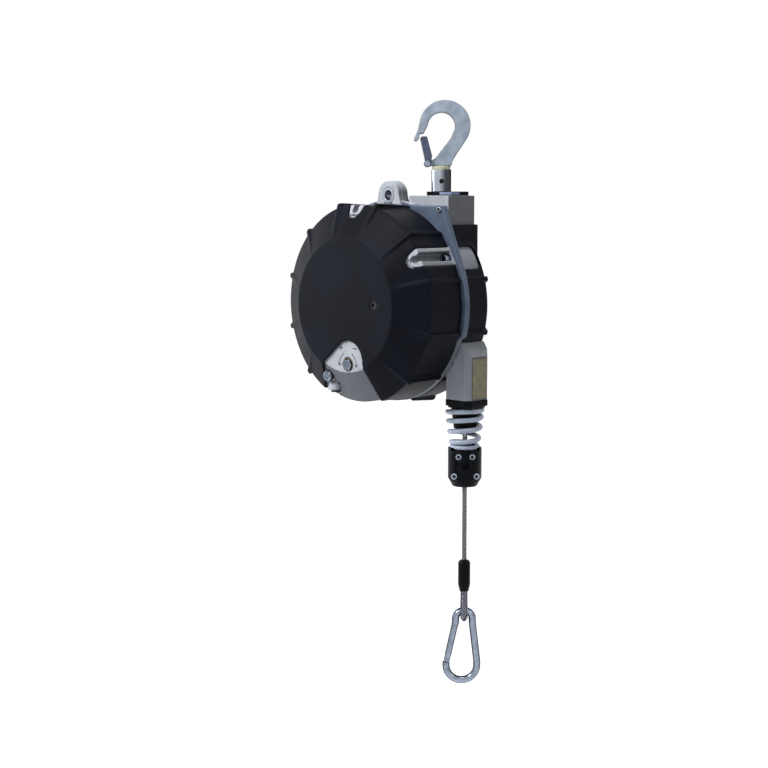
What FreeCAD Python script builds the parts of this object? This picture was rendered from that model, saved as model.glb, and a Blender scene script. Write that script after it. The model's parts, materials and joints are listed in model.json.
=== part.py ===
"""Tool balancer: a spring balancer that hangs from a swivelling hook and carries a tool on a wire rope.

Every driving size is a cell of the spreadsheet Sizes, in millimetres or degrees. Three local frames are used:
  hook     origin at the seat inside the top hook, X across the hook, turned about Z by facing_angle
  housing  origin on the drum axis in the joint plane of the two castings, -Y towards the front cover
  load     origin on the rope axis at the height of the drum axis, turned about Z by facing_angle
"""
import FreeCAD, Part
import math
import os
import re
import Sketcher
from FreeCAD import Placement, Rotation, Vector

document = FreeCAD.newDocument("tool_balancer")
sheet = document.addObject("Spreadsheet::Sheet", "Sizes")

SIZES = (
    # place of the three frames
    ("hook_offset", 50, "drum axis to hook axis, sideways"),
    ("setback", 22, "joint plane back to the hook axis and the rope axis"),
    ("axis_rise", 93.2, "hook seat above the rim of the covers"),
    ("rope_inset", 18.62, "rim of the covers in to the rope, where it leaves the drum"),
    ("facing_angle", 45, "turn of the hook, the stop and the snap hook about Z"),
    # moulded covers
    ("cover_radius", 103.5, "rim of both covers"),
    ("cover_face_radius", 69.5, "flat disc of both covers"),
    ("cover_wall", 2.5, "wall of the mouldings"),
    ("cover_gap", 0.3, "cover to casting"),
    ("front_depth", 70, "joint plane to the front disc"),
    ("front_fall", 19.5, "front disc back to the crease of the front cover"),
    ("rear_depth", 64, "joint plane to the rear disc"),
    ("rear_fall", 29, "rear disc forward to the crease of the rear cover"),
    ("rib_height", 4.2, "ribs above the crease"),
    ("rib_fall", 2, "loss of rib height towards the flange"),
    ("rib_width", 5, "ribs"),
    ("rib_count", 12, "ribs round each cover"),
    ("window_width", 22, "slots over the casting's screw channels"),
    ("window_short", 12, "front disc back to the end of the front slots"),
    ("rear_window_end", 30, "joint plane to the end of the rear slots"),
    ("face_miter", 0.24, "share of an inset that the disc edge moves inwards"),
    ("rim_miter", 0.61, "share of an inset that the crease moves back"),
    # castings
    ("flange_rim", 4.2, "joint flange beyond the covers"),
    ("flange_plate", 3.5, "each flange"),
    ("corner_in", 28.7, "rim of the covers in to the flange corner beside the hook block"),
    ("corner_edge", 3.4, "small screw from the edges of the flange corner"),
    ("corner_down", 2.2, "rim of the covers down to the flange corner"),
    ("chamber_inset", 12, "rim of the covers in to the inside of both castings"),
    ("casting_wall", 6.2, "face and cone of the castings"),
    ("block_near", 28.5, "hook axis to the nearer side of the hook block"),
    ("block_far", 27.3, "hook axis to the outer side of the hook block"),
    ("block_behind", 21.3, "hook axis back to the rear of the hook block"),
    ("block_rise", 8.6, "hook block above the rim of the covers"),
    ("wrap_fall", 21, "rim of the covers down to the top of the wrap on the hook block"),
    ("neck_width", 36, "rope neck, sideways"),
    ("neck_depth", 34, "rope neck, front to back"),
    ("neck_shift", 2, "middle of the neck beside the rope"),
    ("neck_chamfer", 5.3, "corners of the rope neck"),
    ("neck_short", 6.8, "end of the neck above the lowest point of the covers"),
    ("neck_shoulder", 52, "drum axis down to the slope above the neck"),
    ("neck_top", 37, "drum axis down to the upper end of the slope"),
    ("neck_bore", 7, "radius of the rope passage"),
    ("lug_rise", 9, "eye of the safety lug above the rim of the covers"),
    ("lug_crown", 15, "radius round the eye"),
    ("lug_base", 20, "half width of the lug at the flange"),
    ("lug_front", 5.3, "half of the lug on the front casting"),
    ("lug_back", 8.8, "half of the lug on the rear casting"),
    ("eye_radius", 8.2, "hole for the lug's bush"),
    ("bush_bore", 5.25, "bore of the lug's steel bush"),
    ("bolt_inset", 6.4, "rim of the covers in to the flange screws"),
    ("bolt_radius", 2, "flange screws"),
    ("bolt_head", 3.5, "flange screw heads"),
    ("channel_radius", 3.9, "channels that give the driver way to the flange screws"),
    ("bolt_count", 5, "flange screws; none where the adjuster is"),
    ("bolt_row", 240, "angle from the first to the last flange screw"),
    # shaft, gears and adjuster
    ("journal_radius", 7, "ends of the main shaft"),
    ("journal_length", 5.4, "front journal in its bush"),
    ("rear_journal", 9, "rear journal in its bush"),
    ("bush_wall", 2.2, "plain bushes"),
    ("run_gap", 0.04, "running clearance of shafts in bushes, on the radius"),
    ("arbor_radius", 12, "part of the shaft that holds the power spring"),
    ("adjuster_x", 3, "adjusting screw, sideways"),
    ("adjuster_drop", 60.6, "drum axis down to the adjusting screw"),
    ("gear_teeth", 48, "tension gear"),
    ("pinion_teeth", 8, "adjusting pinion"),
    ("gear_back", 11.5, "front disc back to the gears"),
    ("gear_width", 5, "both gears"),
    ("pinion_shaft", 4, "radius of the adjusting screw"),
    ("hex_radius", 6.5, "corners of the adjusting screw's head"),
    ("hex_height", 3.6, "adjusting screw's head"),
    # drum and power spring
    ("case_inset", 29, "rim of the covers in to the spring case"),
    ("case_back", 19, "front disc back to the open end of the spring case"),
    ("sheet_wall", 1.5, "sheet steel of the case and its lid"),
    ("lid_gap", 0.6, "lid of the spring case to what lies in front of it"),
    ("spring_strip", 1.6, "thickness of the power spring's strip"),
    ("spring_turns", 9, "turns of the power spring"),
    ("drum_front", 5.5, "joint plane to the drum's front flange"),
    ("drum_behind", 5, "rope axis back to the drum's back"),
    ("drum_play", 1, "drum to the inside of the castings"),
    ("drum_hub", 24, "radius of the drum's hub"),
    ("drum_web", 4, "web and flanges of the drum"),
    ("bearing_radius", 17.5, "ball bearings of the drum"),
    ("bearing_width", 10, "ball bearings of the drum"),
    ("rope_radius", 2.5, "wire rope"),
    ("rope_pitch", 5.6, "pitch of the drum's grooves"),
    ("rope_rise", 0.55, "growth of the groove radius per turn towards the front"),
    ("rope_coils", 4, "turns of rope on the drum"),
    # lock and safety pawl
    ("lock_x", -31, "drum lock, sideways"),
    ("lock_rise", 28.3, "drum lock above the lowest point of the covers"),
    ("lock_radius", 3, "drum lock pin"),
    ("lock_travel", 6, "drum lock pin"),
    ("lock_knob", 6.1, "knob of the drum lock pin"),
    ("lock_sockets", 12, "holes round the drum for the lock pin"),
    ("foot_x", -29, "boss below the drum lock, sideways"),
    ("foot_back", 16, "front disc back to the middle of that boss"),
    ("foot_rise", 13.5, "foot of that boss above the lowest point of the covers"),
    ("foot_height", 8, "height of that boss"),
    ("foot_radius", 8.8, "foot of that boss"),
    ("foot_taper", 18, "side of that boss against its axis, degrees"),
    ("foot_screw", 2.5, "screw in that boss"),
    ("foot_head", 6, "head of that screw"),
    ("pawl_inset", 29, "drum flange in to the safety pawl's pivot"),
    ("pawl_gap", 0.5, "drum to the safety pawl"),
    ("pawl_width", 5, "safety pawl"),
    # rope guide, buffer and stop
    ("collar_height", 6.5, "black collar under the neck"),
    ("collar_step", 2, "lower step of the collar"),
    ("core_radius", 14.6, "rope guide at the collar"),
    ("core_end_radius", 11.6, "rope guide at its lower end"),
    ("core_length", 22, "rope guide below the collar"),
    ("wire_radius", 2.6, "wire of the buffer spring"),
    ("spring_top_radius", 17.9, "buffer spring at the collar, to the middle of the wire"),
    ("spring_end_radius", 12.9, "buffer spring at the stop, to the middle of the wire"),
    ("spring_coils", 4.6, "turns of the buffer spring"),
    ("seat_gap", 0.3, "stop to buffer spring at rest"),
    ("stop_below", 50.3, "end of the neck down to the top of the stop"),
    ("stop_radius", 17.5, "stop"),
    ("stop_height", 40.5, "stop"),
    ("stop_taper", 8.7, "height of the taper at its lower end"),
    ("stop_end_radius", 12.5, "lower end of the stop"),
    ("stop_recess", 2.3, "recess in which the spring lands"),
    ("stop_screw", 3.4, "heads of the stop's screws"),
    ("groove_gap", 0.1, "rope to the grooves and bores that hold it"),
    # rope end and snap hook
    ("rope_free", 119, "top of the stop down to the black sleeve"),
    ("sleeve_length", 33, "black sleeve on the ferrule"),
    ("sleeve_radius", 6.4, "black sleeve"),
    ("thimble_width", 7.2, "thimble seen on edge"),
    ("snap_length", 82, "snap hook"),
    ("snap_wire", 3.75, "radius of the snap hook's wire"),
    ("snap_eye", 8.8, "middle of the wire round the small bow"),
    ("snap_bow", 16.2, "middle of the wire round the large bow"),
    ("snap_lean", -2.4, "large bow sideways from the small bow"),
    ("gate_nose", 6.5, "eye centre down to the gate's upper end"),
    ("gate_foot", 1.5, "bow centre up to the gate's lower end"),
    ("gate_gap", 0.4, "gate to the wire and to its tang"),
    ("gate_pin", 1.2, "pin of the gate"),
    ("tang_half", 1.3, "half thickness of the tang in the gate"),
    ("tang_wide", 2.8, "half width of the tang in the gate"),
    ("eye_drop", 65.8, "top of the sleeve down to the lowest point of the rope's eye"),
    ("thimble_inner", 5, "thimble round the snap hook's wire"),
    ("thimble_sheet", 0.8, "thimble"),
    ("thimble_nose", 6, "apex of the thimble above the sleeve's end"),
    ("ferrule_radius", 4.4, "ferrule under the sleeve"),
    ("boss_height", 6, "boss of the stop inside the buffer spring"),
    ("boss_radius", 9.4, "boss of the stop inside the buffer spring"),
    ("screw_seat", 10.4, "rope axis forward to the seats of the stop's screws"),
    ("guide_bore", 4, "bore of the rope guide"),
    ("guide_spigot", 14, "rope guide inside the neck"),
    # top hook and swivel
    ("hook_thickness", 15, "bowl of the hook"),
    ("bowl_outer", 26, "outside of the bowl"),
    ("bowl_inner", 14, "inside of the bowl"),
    ("stem_top", 54.6, "seat down to the top of the ring"),
    ("stem_radius", 6.5, "stem of the hook in the shank"),
    ("stem_length", 20, "stem below the ring's top"),
    ("ear_radius", 3.8, "ear that carries the latch"),
    ("ear_half", 4, "half thickness of the ear"),
    ("ear_slot", 2.2, "half width of the slot for the latch spring"),
    ("latch_x", -14.4, "latch pivot, sideways"),
    ("latch_z", -52, "latch pivot, height"),
    ("latch_pin", 2, "latch pin"),
    ("latch_round", 3.6, "cheeks of the latch round its pin"),
    ("latch_half", 5.6, "half width of the latch"),
    ("latch_sheet", 1.2, "sheet of the latch"),
    ("cross_hole", 70.1, "seat down to the cross hole of the shank"),
    ("cross_pin", 2.5, "cross pin of the shank"),
    ("ring_height", 3.5, "yellow ring on the shank"),
    ("ring_radius", 9.4, "yellow ring on the shank"),
    ("shank_radius", 10.2, "swivel shank above the plate"),
    ("spindle_radius", 8, "swivel shank inside the block"),
    ("plate_top", 80.4, "seat down to the swivel plate"),
    ("plate_length", 36, "swivel plate, sideways"),
    ("plate_depth", 25, "swivel plate, front to back"),
    ("plate_shift", 9, "swivel plate off the hook axis"),
    ("pocket_top", 98.1, "seat down to the ceiling of the bearing pocket"),
    ("thrust_radius", 13, "thrust bearing"),
    ("bearing_height", 6, "thrust bearing"),
    ("race_gap", 0.1, "thrust bearing to the pocket"),
    ("nut_radius", 12.5, "corners of the swivel nut"),
    ("nut_bottom", 110.1, "seat down to the end of the shank"),
    # more of the castings and covers
    ("window_count", 2, "slots of the front cover"),
    ("slot_corner", 5, "corners of the side window"),
    ("rim_land", 4.6, "bright rim round the screw channel in a slot"),
    ("boss_inset", 0.6, "screw channels below the cover's surface"),
    ("boss_back", 15, "front disc back to the spot face of the drum lock"),
    ("lock_rim", 3.6, "spot face and boss round the drum lock pin"),
    ("spot_depth", 1.2, "spot face round the adjusting screw"),
    ("corner_screw", 1.7, "small screw in the flange corner"),
    ("cover_screw", 2, "cover screws"),
    ("screw_head", 2.2, "heads of the cover screws beyond their shanks"),
    ("screw_sink", 1.3, "counterbore of the cover screws"),
    ("cover_screw_x", 42.6, "front cover screw, sideways"),
    ("cover_screw_z", 2.2, "cover screws, height"),
    ("thread_depth", 12, "threads of the flange screws in the rear casting"),
    ("boss_front", 18, "rear disc forward to the rear bearing boss"),
    ("journal_back", 4.8, "front disc back to the front end of the shaft"),
    ("cut_right", 26, "adjuster cut-out, right side"),
    ("cut_left", -32, "adjuster cut-out, left corner"),
    ("cut_height", 57, "drum axis down to the centre of the arch"),
    ("cut_radius", 21, "arch of the cut-out"),
    ("cut_flare", 11, "widening of the cut-out towards the rim"),
    ("cut_past", 9, "cut-out past the rim"),
    ("window_front", 3, "front edge of the side window"),
    ("window_low", 38, "side window, lower edge"),
    ("window_high", 60, "side window, upper edge"),
    ("label_sheet", 0.4, "blank rating plate"),
    # more of the inside
    ("gear_seat", 9, "tension gear on the shaft"),
    ("bearing_seat", 8.5, "ball bearings on the shaft"),
    ("addendum", 0.8, "tooth height above the pitch circle, in modules"),
    ("backlash", 0.5, "play between the gears at the pitch circle"),
    ("drum_lip", 3, "front flange of the drum"),
    ("groove_lie", 1, "drum surface below the middle of the rope"),
    ("drum_rim", 12, "depth of the drum's rim"),
    ("pawl_pin", 2.5, "pivot of the safety pawl"),
    ("pawl_short", 5, "drum flange to the tip of the safety pawl at rest"),
)

for row, (alias, size, note) in enumerate(SIZES, start=1):
    sheet.set(f"A{row}", note)
    sheet.set(f"B{row}", str(size))
    sheet.setAlias(f"B{row}", alias)
document.recompute()

ALIASES = {alias for alias, size, note in SIZES}
NODES = []
ACROSS = Vector(1, 0, 0)
BACK = Vector(0, 1, 0)
UP = Vector(0, 0, 1)

# sizes that follow from the cells
DERIVED = {
    "axis_drop": "cover_radius + axis_rise",
    "flange_radius": "cover_radius + flange_rim",
    "corner_x": "cover_radius - corner_in",
    "corner_z": "cover_radius - corner_down",
    "chamber_radius": "cover_radius - chamber_inset",
    "bolt_circle": "cover_radius - bolt_inset",
    "case_radius": "cover_radius - case_inset",
    "drum_flange": "chamber_radius - drum_play",
    "drum_rim_inside": "drum_flange - drum_rim",
    "rope_offset": "cover_radius - rope_inset",
    "lug_height": "cover_radius + lug_rise",
    "cut_low": "cover_radius + cut_past",
    "block_left": "hook_offset - block_near",
    "block_right": "hook_offset + block_far",
    "block_back": "setback + block_behind",
    "block_top": "cover_radius + block_rise",
    "wrap_top": "cover_radius - wrap_fall",
    "neck_middle": "rope_offset + neck_shift",
    "neck_bottom": "cover_radius - neck_short",
    "drum_back": "setback + drum_behind",
    "pawl_front": "drum_back + pawl_gap",
    "pawl_radius": "drum_flange - pawl_inset",
    "pawl_reach": "drum_flange - pawl_short",
    "lock_z": "lock_rise - cover_radius",
    "foot_y": "foot_back - front_depth",
    "foot_z": "foot_rise - cover_radius",
    "front_crease": "front_depth - front_fall",
    "window_end": "front_depth - window_short",
    "gear_front": "front_depth - gear_back",
    "journal_front": "front_depth - journal_back",
    "lock_boss": "front_depth - boss_back",
    "case_front": "front_depth - case_back",
    "rear_crease": "rear_depth - rear_fall",
    "rear_boss": "rear_depth - boss_front",
    "gear_centres": "sqrt(adjuster_x ^ 2 + adjuster_drop ^ 2)",
    "stop_top": "neck_bottom + stop_below",
    "sleeve_top": "stop_top + rope_free",
    "eye_bottom": "sleeve_top + eye_drop",
}


# ---------------------------------------------------------------- helpers

def cell(word):
    """One word of an expression: a derived size spelled out, or a size name pointed at the sheet."""
    name = word.group()
    if name in DERIVED:
        return f"({linked(DERIVED[name])})"
    return "Sizes." + name if name in ALIASES else name


def linked(text):
    """Expression text with every size name led back to the cells of the sheet."""
    return re.sub(r"[a-z][a-z_]*", cell, str(text))


def number(text):
    return float(sheet.evalExpression(linked(text)))


def bind(target, name, text):
    target.setExpression(name, linked(text))


FRAMES = {
    "hook": ("0", "0", "0", "facing_angle"),
    "housing": ("-hook_offset", "-setback", "-axis_drop", "0"),
    "load": ("rope_offset - hook_offset", "0", "-axis_drop", "facing_angle"),
}


def place(piece, frame):
    """Bind a piece's placement to its local frame and list it for writing."""
    x, y, z, turn = FRAMES[frame]
    turned = Rotation(UP, number(turn))
    piece.Placement = Placement(Vector(number(x), number(y), number(z)), turned)
    bind(piece, "Placement.Base.x", x)
    bind(piece, "Placement.Base.y", y)
    bind(piece, "Placement.Base.z", z)
    if turn != "0":
        bind(piece, "Placement.Rotation.Angle", turn)
    NODES.append(piece)


def body(name, frame):
    piece = document.addObject("PartDesign::Body", name)
    piece.Label = name
    place(piece, frame)
    return piece


def solid(name, frame, shape):
    """A piece whose form comes straight from Part's functions, in its local frame."""
    piece = document.addObject("Part::Feature", name)
    piece.Label = name
    piece.Shape = shape
    place(piece, frame)
    return piece


def sketch(piece, plane="XZ_Plane", shift="0", turn="0"):
    """Sketch on one of the body's origin planes: shift along its normal, turn about its own X."""
    drawing = piece.newObject("Sketcher::SketchObject", piece.Name + "_sketch")
    support = [feature for feature in piece.Origin.OriginFeatures if feature.Role == plane][0]
    drawing.AttachmentSupport = [(support, "")]
    drawing.MapMode = "FlatFace"
    drawing.AttachmentOffset = Placement(Vector(0, 0, number(shift)), Rotation(Vector(1, 0, 0), number(turn)))
    if shift != "0":
        bind(drawing, "AttachmentOffset.Base.z", shift)
    if turn != "0":
        bind(drawing, "AttachmentOffset.Rotation.Angle", turn)
    return drawing


def fix(drawing, geometry, point, x, y):
    """Tie a sketch point to the origin with two dimensions."""
    for kind, text in (("DistanceX", x), ("DistanceY", y)):
        index = drawing.addConstraint(Sketcher.Constraint(kind, -1, 1, geometry, point, number(text)))
        bind(drawing, f"Constraints[{index}]", text)


def bow(start, end, radius, above):
    """Centre and angles of the arc of this radius between two points, its centre left of the chord."""
    middle = (start + end) * 0.5
    chord = end - start
    rise = math.sqrt(max(radius ** 2 - (chord.Length / 2) ** 2, 0))
    across = Vector(-chord.y, chord.x, 0).normalize()
    centre = middle + across * (rise if above else -rise)
    first = math.atan2(start.y - centre.y, start.x - centre.x)
    last = math.atan2(end.y - centre.y, end.x - centre.x)
    return centre, first, last


def outline(drawing, corners):
    """Closed outline. A corner is (x, y), or (x, y, radius, turn) where an arc leaves it, ccw or cw."""
    first = drawing.GeometryCount
    points = [Vector(number(corner[0]), number(corner[1]), 0) for corner in corners]
    ends = []
    for index, corner in enumerate(corners):
        start = points[index]
        end = points[(index + 1) % len(points)]
        if len(corner) == 2:
            drawing.addGeometry(Part.LineSegment(start, end), False)
            ends.append((1, 2))
            continue
        radius = number(corner[2])
        centre, begin, finish = bow(start, end, radius, corner[3] == "ccw")
        circle = Part.Circle(centre, Vector(0, 0, 1), radius)
        if corner[3] == "ccw":
            drawing.addGeometry(Part.ArcOfCircle(circle, begin, finish), False)
            ends.append((1, 2))
        else:
            drawing.addGeometry(Part.ArcOfCircle(circle, finish, begin), False)
            ends.append((2, 1))
    count = len(corners)
    for index, corner in enumerate(corners):
        following = (index + 1) % count
        drawing.addConstraint(Sketcher.Constraint("Coincident", first + index, ends[index][1],
                                                  first + following, ends[following][0]))
        fix(drawing, first + index, ends[index][0], corner[0], corner[1])
        if len(corner) == 4:
            index = drawing.addConstraint(Sketcher.Constraint("Radius", first + index, number(corner[2])))
            bind(drawing, f"Constraints[{index}]", corner[2])
    return drawing


def circle(drawing, x, y, radius):
    geometry = drawing.addGeometry(Part.Circle(Vector(number(x), number(y), 0), Vector(0, 0, 1),
                                               number(radius)), False)
    fix(drawing, geometry, 3, x, y)
    index = drawing.addConstraint(Sketcher.Constraint("Radius", geometry, number(radius)))
    bind(drawing, f"Constraints[{index}]", radius)
    return drawing


def feature(piece, kind, drawing, **settings):
    made = piece.newObject("PartDesign::" + kind, piece.Name + "_" + kind.lower())
    made.Profile = drawing
    for name, value in settings.items():
        if name in ("Length", "Angle"):
            setattr(made, name, number(value))
            bind(made, name, value)
        else:
            setattr(made, name, value)
    document.recompute()
    if not made.isValid():
        raise ValueError(f"{made.Name} did not recompute")
    return made


def pad(piece, drawing, length, **settings):
    return feature(piece, "Pad", drawing, Length=length, **settings)


def pocket(piece, drawing, length, **settings):
    before = piece.Shape.Volume
    made = feature(piece, "Pocket", drawing, Length=length, **settings)
    if piece.Shape.Volume > before - 1e-6:
        raise ValueError(f"a pocket of {piece.Label} removes nothing")
    return made


def revolve(piece, drawing, axis="H_Axis"):
    return feature(piece, "Revolution", drawing, ReferenceAxis=(drawing, [axis]), Angle="360")


def groove(piece, drawing, axis="H_Axis"):
    before = piece.Shape.Volume
    made = feature(piece, "Groove", drawing, ReferenceAxis=(drawing, [axis]), Angle="360")
    if piece.Shape.Volume > before - 1e-6:
        raise ValueError(f"a groove of {piece.Label} removes nothing")
    return made


def polar(piece, features, count, angle="360"):
    """Repeat features about the drum axis; below a full turn the angle is that of the whole row."""
    axis = [item for item in piece.Origin.OriginFeatures if item.Role == "Y_Axis"][0]
    made = piece.newObject("PartDesign::PolarPattern", piece.Name + "_pattern")
    made.Originals = features
    made.Axis = (axis, [""])
    made.Angle = number(angle)
    made.Occurrences = int(number(count))
    bind(made, "Occurrences", count)
    piece.Tip = made
    document.recompute()
    return made


def at_y(piece, y):
    """Sketch in the plane across the drum axis at this Y."""
    return sketch(piece, "XZ_Plane", f"-({y})")


def at_z(piece, z):
    return sketch(piece, "XY_Plane", z)


def disc_y(piece, x, z, radius, front, back):
    """Round boss parallel to the drum axis, from front to back."""
    return pad(piece, circle(at_y(piece, back), x, z, radius), f"({back}) - ({front})")


def drill_y(piece, x, z, radius, front, back):
    return pocket(piece, circle(at_y(piece, front), x, z, radius), f"({back}) - ({front})")


def block_y(piece, corners, front, back):
    return pad(piece, outline(at_y(piece, back), corners), f"({back}) - ({front})")


def cut_y(piece, corners, front, back):
    return pocket(piece, outline(at_y(piece, front), corners), f"({back}) - ({front})")


def disc_z(piece, x, y, radius, low, high):
    return pad(piece, circle(at_z(piece, low), x, y, radius), f"({high}) - ({low})")


def drill_z(piece, x, y, radius, low, high):
    return pocket(piece, circle(at_z(piece, high), x, y, radius), f"({high}) - ({low})")


def block_z(piece, corners, low, high):
    return pad(piece, outline(at_z(piece, low), corners), f"({high}) - ({low})")


def cut_z(piece, corners, low, high):
    return pocket(piece, outline(at_z(piece, high), corners), f"({high}) - ({low})")


def rectangle(left, low, right, high):
    return [(left, low), (right, low), (right, high), (left, high)]


def pin_y(name, x, z, steps, bore=None, frame="housing"):
    """Turned piece parallel to Y: steps are (front, back, radius), drilled through where it has a bore."""
    piece = body(name, frame)
    for front, back, radius in steps:
        disc_y(piece, x, z, radius, front, back)
    if bore is not None:
        drill_y(piece, x, z, bore, f"({steps[0][0]}) - 1", f"({steps[-1][1]}) + 1")
    return piece


def turned_z(name, frame, profile):
    """Turned piece about the frame's Z axis: a closed half section of (radius, height)."""
    piece = body(name, frame)
    revolve(piece, outline(sketch(piece), profile), "V_Axis")
    return piece


# ---------------------------------------------------------------- hook group

def forged(x, z, *arc):
    """Corner of the hook's outline, given for a bowl of 26 mm and scaled with the bowl."""
    return (f"{x} * bowl_outer / 26", f"{z} * bowl_outer / 26", *arc)


def top_hook():
    """Forged eye of the hook: round bowl, slim tip, and a stem that is pinned in the swivel shank."""
    hook = body("top_hook", "hook")
    half = "hook_thickness / 2"
    back = [forged(11.4, -49), forged(25.4, -27.6, "bowl_outer", "ccw"), forged(3, 12.7, "bowl_outer", "ccw")]
    tip = [forged(-21.6, -5.2), forged(-24.4, -17.6), forged(-28.6, -27), forged(-28, -29.2),
           forged(-25.8, -29.6), forged(-22.8, -26), forged(-22.6, -21.4), forged(-18.6, -22)]
    bowl = [forged(-14.6, -14), forged(-13.2, -9.3, "bowl_inner", "cw"), ("0", "0", "bowl_inner", "cw"),
            forged(13.8, -16.4), forged(9.6, -26), forged(-6.8, -47), forged(-11.8, -49)]
    ear = [("latch_x", "latch_z + ear_radius", "ear_radius", "ccw"),
           ("latch_x - ear_radius", "latch_z", "ear_radius", "ccw"), ("latch_x", "latch_z - ear_radius")]
    foot = [(forged(-10.2, 0)[0], "-stem_top"), (forged(10.2, 0)[0], "-stem_top")]
    block_y(hook, back + tip + bowl + ear + foot, f"-{half}", half)
    for side in ("-", ""):
        front, back = (f"-{half} - 1", "-ear_half") if side else ("ear_half", f"{half} + 1")
        cut_y(hook, [forged(-30, -60), forged(-8.6, -60), forged(-5.6, -43.4), forged(-30, -43.4)],
              front, back)
    disc_z(hook, "0", "0", "stem_radius", "-stem_top - stem_length", "-stem_top")
    drill_y(hook, "latch_x", "latch_z", "latch_pin + run_gap", "-ear_half - 1", "ear_half + 1")
    drill_y(hook, "latch_x", "latch_z", "ear_radius + 0.6", "-ear_slot", "ear_slot")
    drill_y(hook, "0", "-cross_hole", "cross_pin", "-stem_radius - 1", "stem_radius + 1")
    return hook


def hook_latch():
    """Folded sheet latch: two cheeks that straddle the ear and a web that closes the mouth."""
    latch = body("hook_latch", "hook")
    block_y(latch, [
        forged(-22, -26.4), forged(-20.4, -24.2), forged(-14.9, -24.2), forged(-9.6, -44),
        ("latch_x + latch_round", "latch_z", "latch_round", "cw"),
        ("latch_x", "latch_z - latch_round", "latch_round", "cw"),
        ("latch_x - latch_round", "latch_z"), forged(-17, -49)], "-latch_half", "latch_half")
    cut_y(latch, [forged(-20.6, -23), forged(-15.4, -47.4), forged(-24, -47.4), forged(-24, -57),
                  forged(-5, -57), forged(-5, -23)], "-latch_half + latch_sheet", "latch_half - latch_sheet")
    drill_y(latch, "latch_x", "latch_z", "latch_pin + run_gap", "-latch_half - 1", "latch_half + 1")
    return latch


def hook_group():
    """Hook and latch with the swivel shank, its ring, pins, bearing and nut."""
    top_hook()
    hook_latch()
    pin_y("latch_pin", "latch_x", "latch_z", [
        ("-latch_half - 0.9", "-latch_half - 0.1", "latch_pin + 1"),
        ("-latch_half - 0.1", "latch_half + 0.1", "latch_pin"),
        ("latch_half + 0.1", "latch_half + 0.9", "latch_pin + 1")], frame="hook")
    ring_low = "-stem_top - ring_height"
    turned_z("hook_ring", "hook", rectangle("stem_radius", ring_low, "ring_radius", "-stem_top"))
    shank = turned_z("swivel_shank", "hook", [
        ("0", "-nut_bottom"), ("spindle_radius", "-nut_bottom"), ("spindle_radius", "-plate_top"),
        ("shank_radius", "-plate_top"), ("shank_radius", ring_low), ("stem_radius", ring_low),
        ("stem_radius", "-stem_top - stem_length"), ("0", "-stem_top - stem_length")])
    drill_y(shank, "0", "-cross_hole", "cross_pin", "-shank_radius - 1", "shank_radius + 1")
    cross_pin = [("-shank_radius + 2", "shank_radius - 2", "cross_pin")]
    pin_y("hook_pin", "0", "-cross_hole", cross_pin, frame="hook")
    turned_z("thrust_bearing", "hook", rectangle(
        "spindle_radius", "-pocket_top - bearing_height", "thrust_radius", "-pocket_top - race_gap"))
    nut = body("swivel_nut", "hook")
    six = [(f"nut_radius * cos({60 * k})", f"nut_radius * sin({60 * k})") for k in range(6)]
    block_z(nut, six, "-nut_bottom", "-pocket_top - bearing_height")
    drill_z(nut, "0", "0", "spindle_radius", "-nut_bottom - 1", "-pocket_top - bearing_height + 1")


# ---------------------------------------------------------------- castings and covers

def shell_corners(way, depth, crease, inset):
    """Disc edge and crease of the covers' outline, moved inwards by an inset: (y, radius)."""
    face = (f"{way}({depth} - ({inset}))", f"cover_face_radius - face_miter * ({inset})")
    bend = (f"{way}({crease} - rim_miter * ({inset}))", f"cover_radius - ({inset})")
    return face, bend


SKIN = "cover_wall + cover_gap"
INSIDE = "cover_wall + cover_gap + casting_wall"
FRONT = ("-", "front_depth", "front_crease")
REAR = ("", "rear_depth", "rear_crease")


def casting_blank(piece, side):
    """Solid of revolution of one casting with its joint flange."""
    way = side[0]
    face, bend = shell_corners(*side, SKIN)
    revolve(piece, outline(sketch(piece, "YZ_Plane"), [
        ("0", "0"), ("0", "flange_radius"), (f"{way}flange_plate", "flange_radius"),
        (f"{way}flange_plate", bend[1]), bend, face, (face[0], "0")]))


CORNER_HOLE = ("corner_x - corner_edge", "corner_z - corner_edge")


def flange_corner(piece, front, back):
    """Corner of the joint flange that runs out to the hook block."""
    within = [(f"bolt_circle * cos({turn})", f"bolt_circle * sin({turn})") for turn in (20, 45, 68)]
    block_y(piece, [("sqrt(flange_radius ^ 2 - corner_z ^ 2)", "corner_z"), ("corner_x", "corner_z"),
                    ("flange_radius * cos(20)", "flange_radius * sin(20)")] + within, front, back)
    drill_y(piece, *CORNER_HOLE, "corner_screw", f"({front}) - 1", f"({back}) + 1")


def lug_half(piece, front, back):
    """Half of the safety lug: a foot on the flange and a round crown about the eye."""
    block_y(piece, [("-lug_base", "bolt_circle"), ("lug_base", "bolt_circle"),
                    ("lug_crown", "lug_height", "lug_crown", "ccw"),
                    ("0", "lug_height + lug_crown", "lug_crown", "ccw"), ("-lug_crown", "lug_height")],
            front, back)
    drill_y(piece, "0", "lug_height", "eye_radius", f"({front}) - 1", f"({back}) + 1")


def open_chamber(piece, side):
    """Turn the chamber out of a casting, down to the inside of its face."""
    way, depth, crease = side
    face, bend = shell_corners(*side, INSIDE)
    mouth = "1" if way == "-" else "-1"
    groove(piece, outline(sketch(piece, "YZ_Plane"), [
        (mouth, "0"), (mouth, "chamber_radius"),
        (f"{way}({crease} - rim_miter * ({INSIDE}) + (cover_radius - ({INSIDE}) - chamber_radius) / 2)",
         "chamber_radius"), face, (face[0], "0")]))


FIRST_BOLT = ("-bolt_circle * cos(30)", "-bolt_circle * sin(30)")


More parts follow.
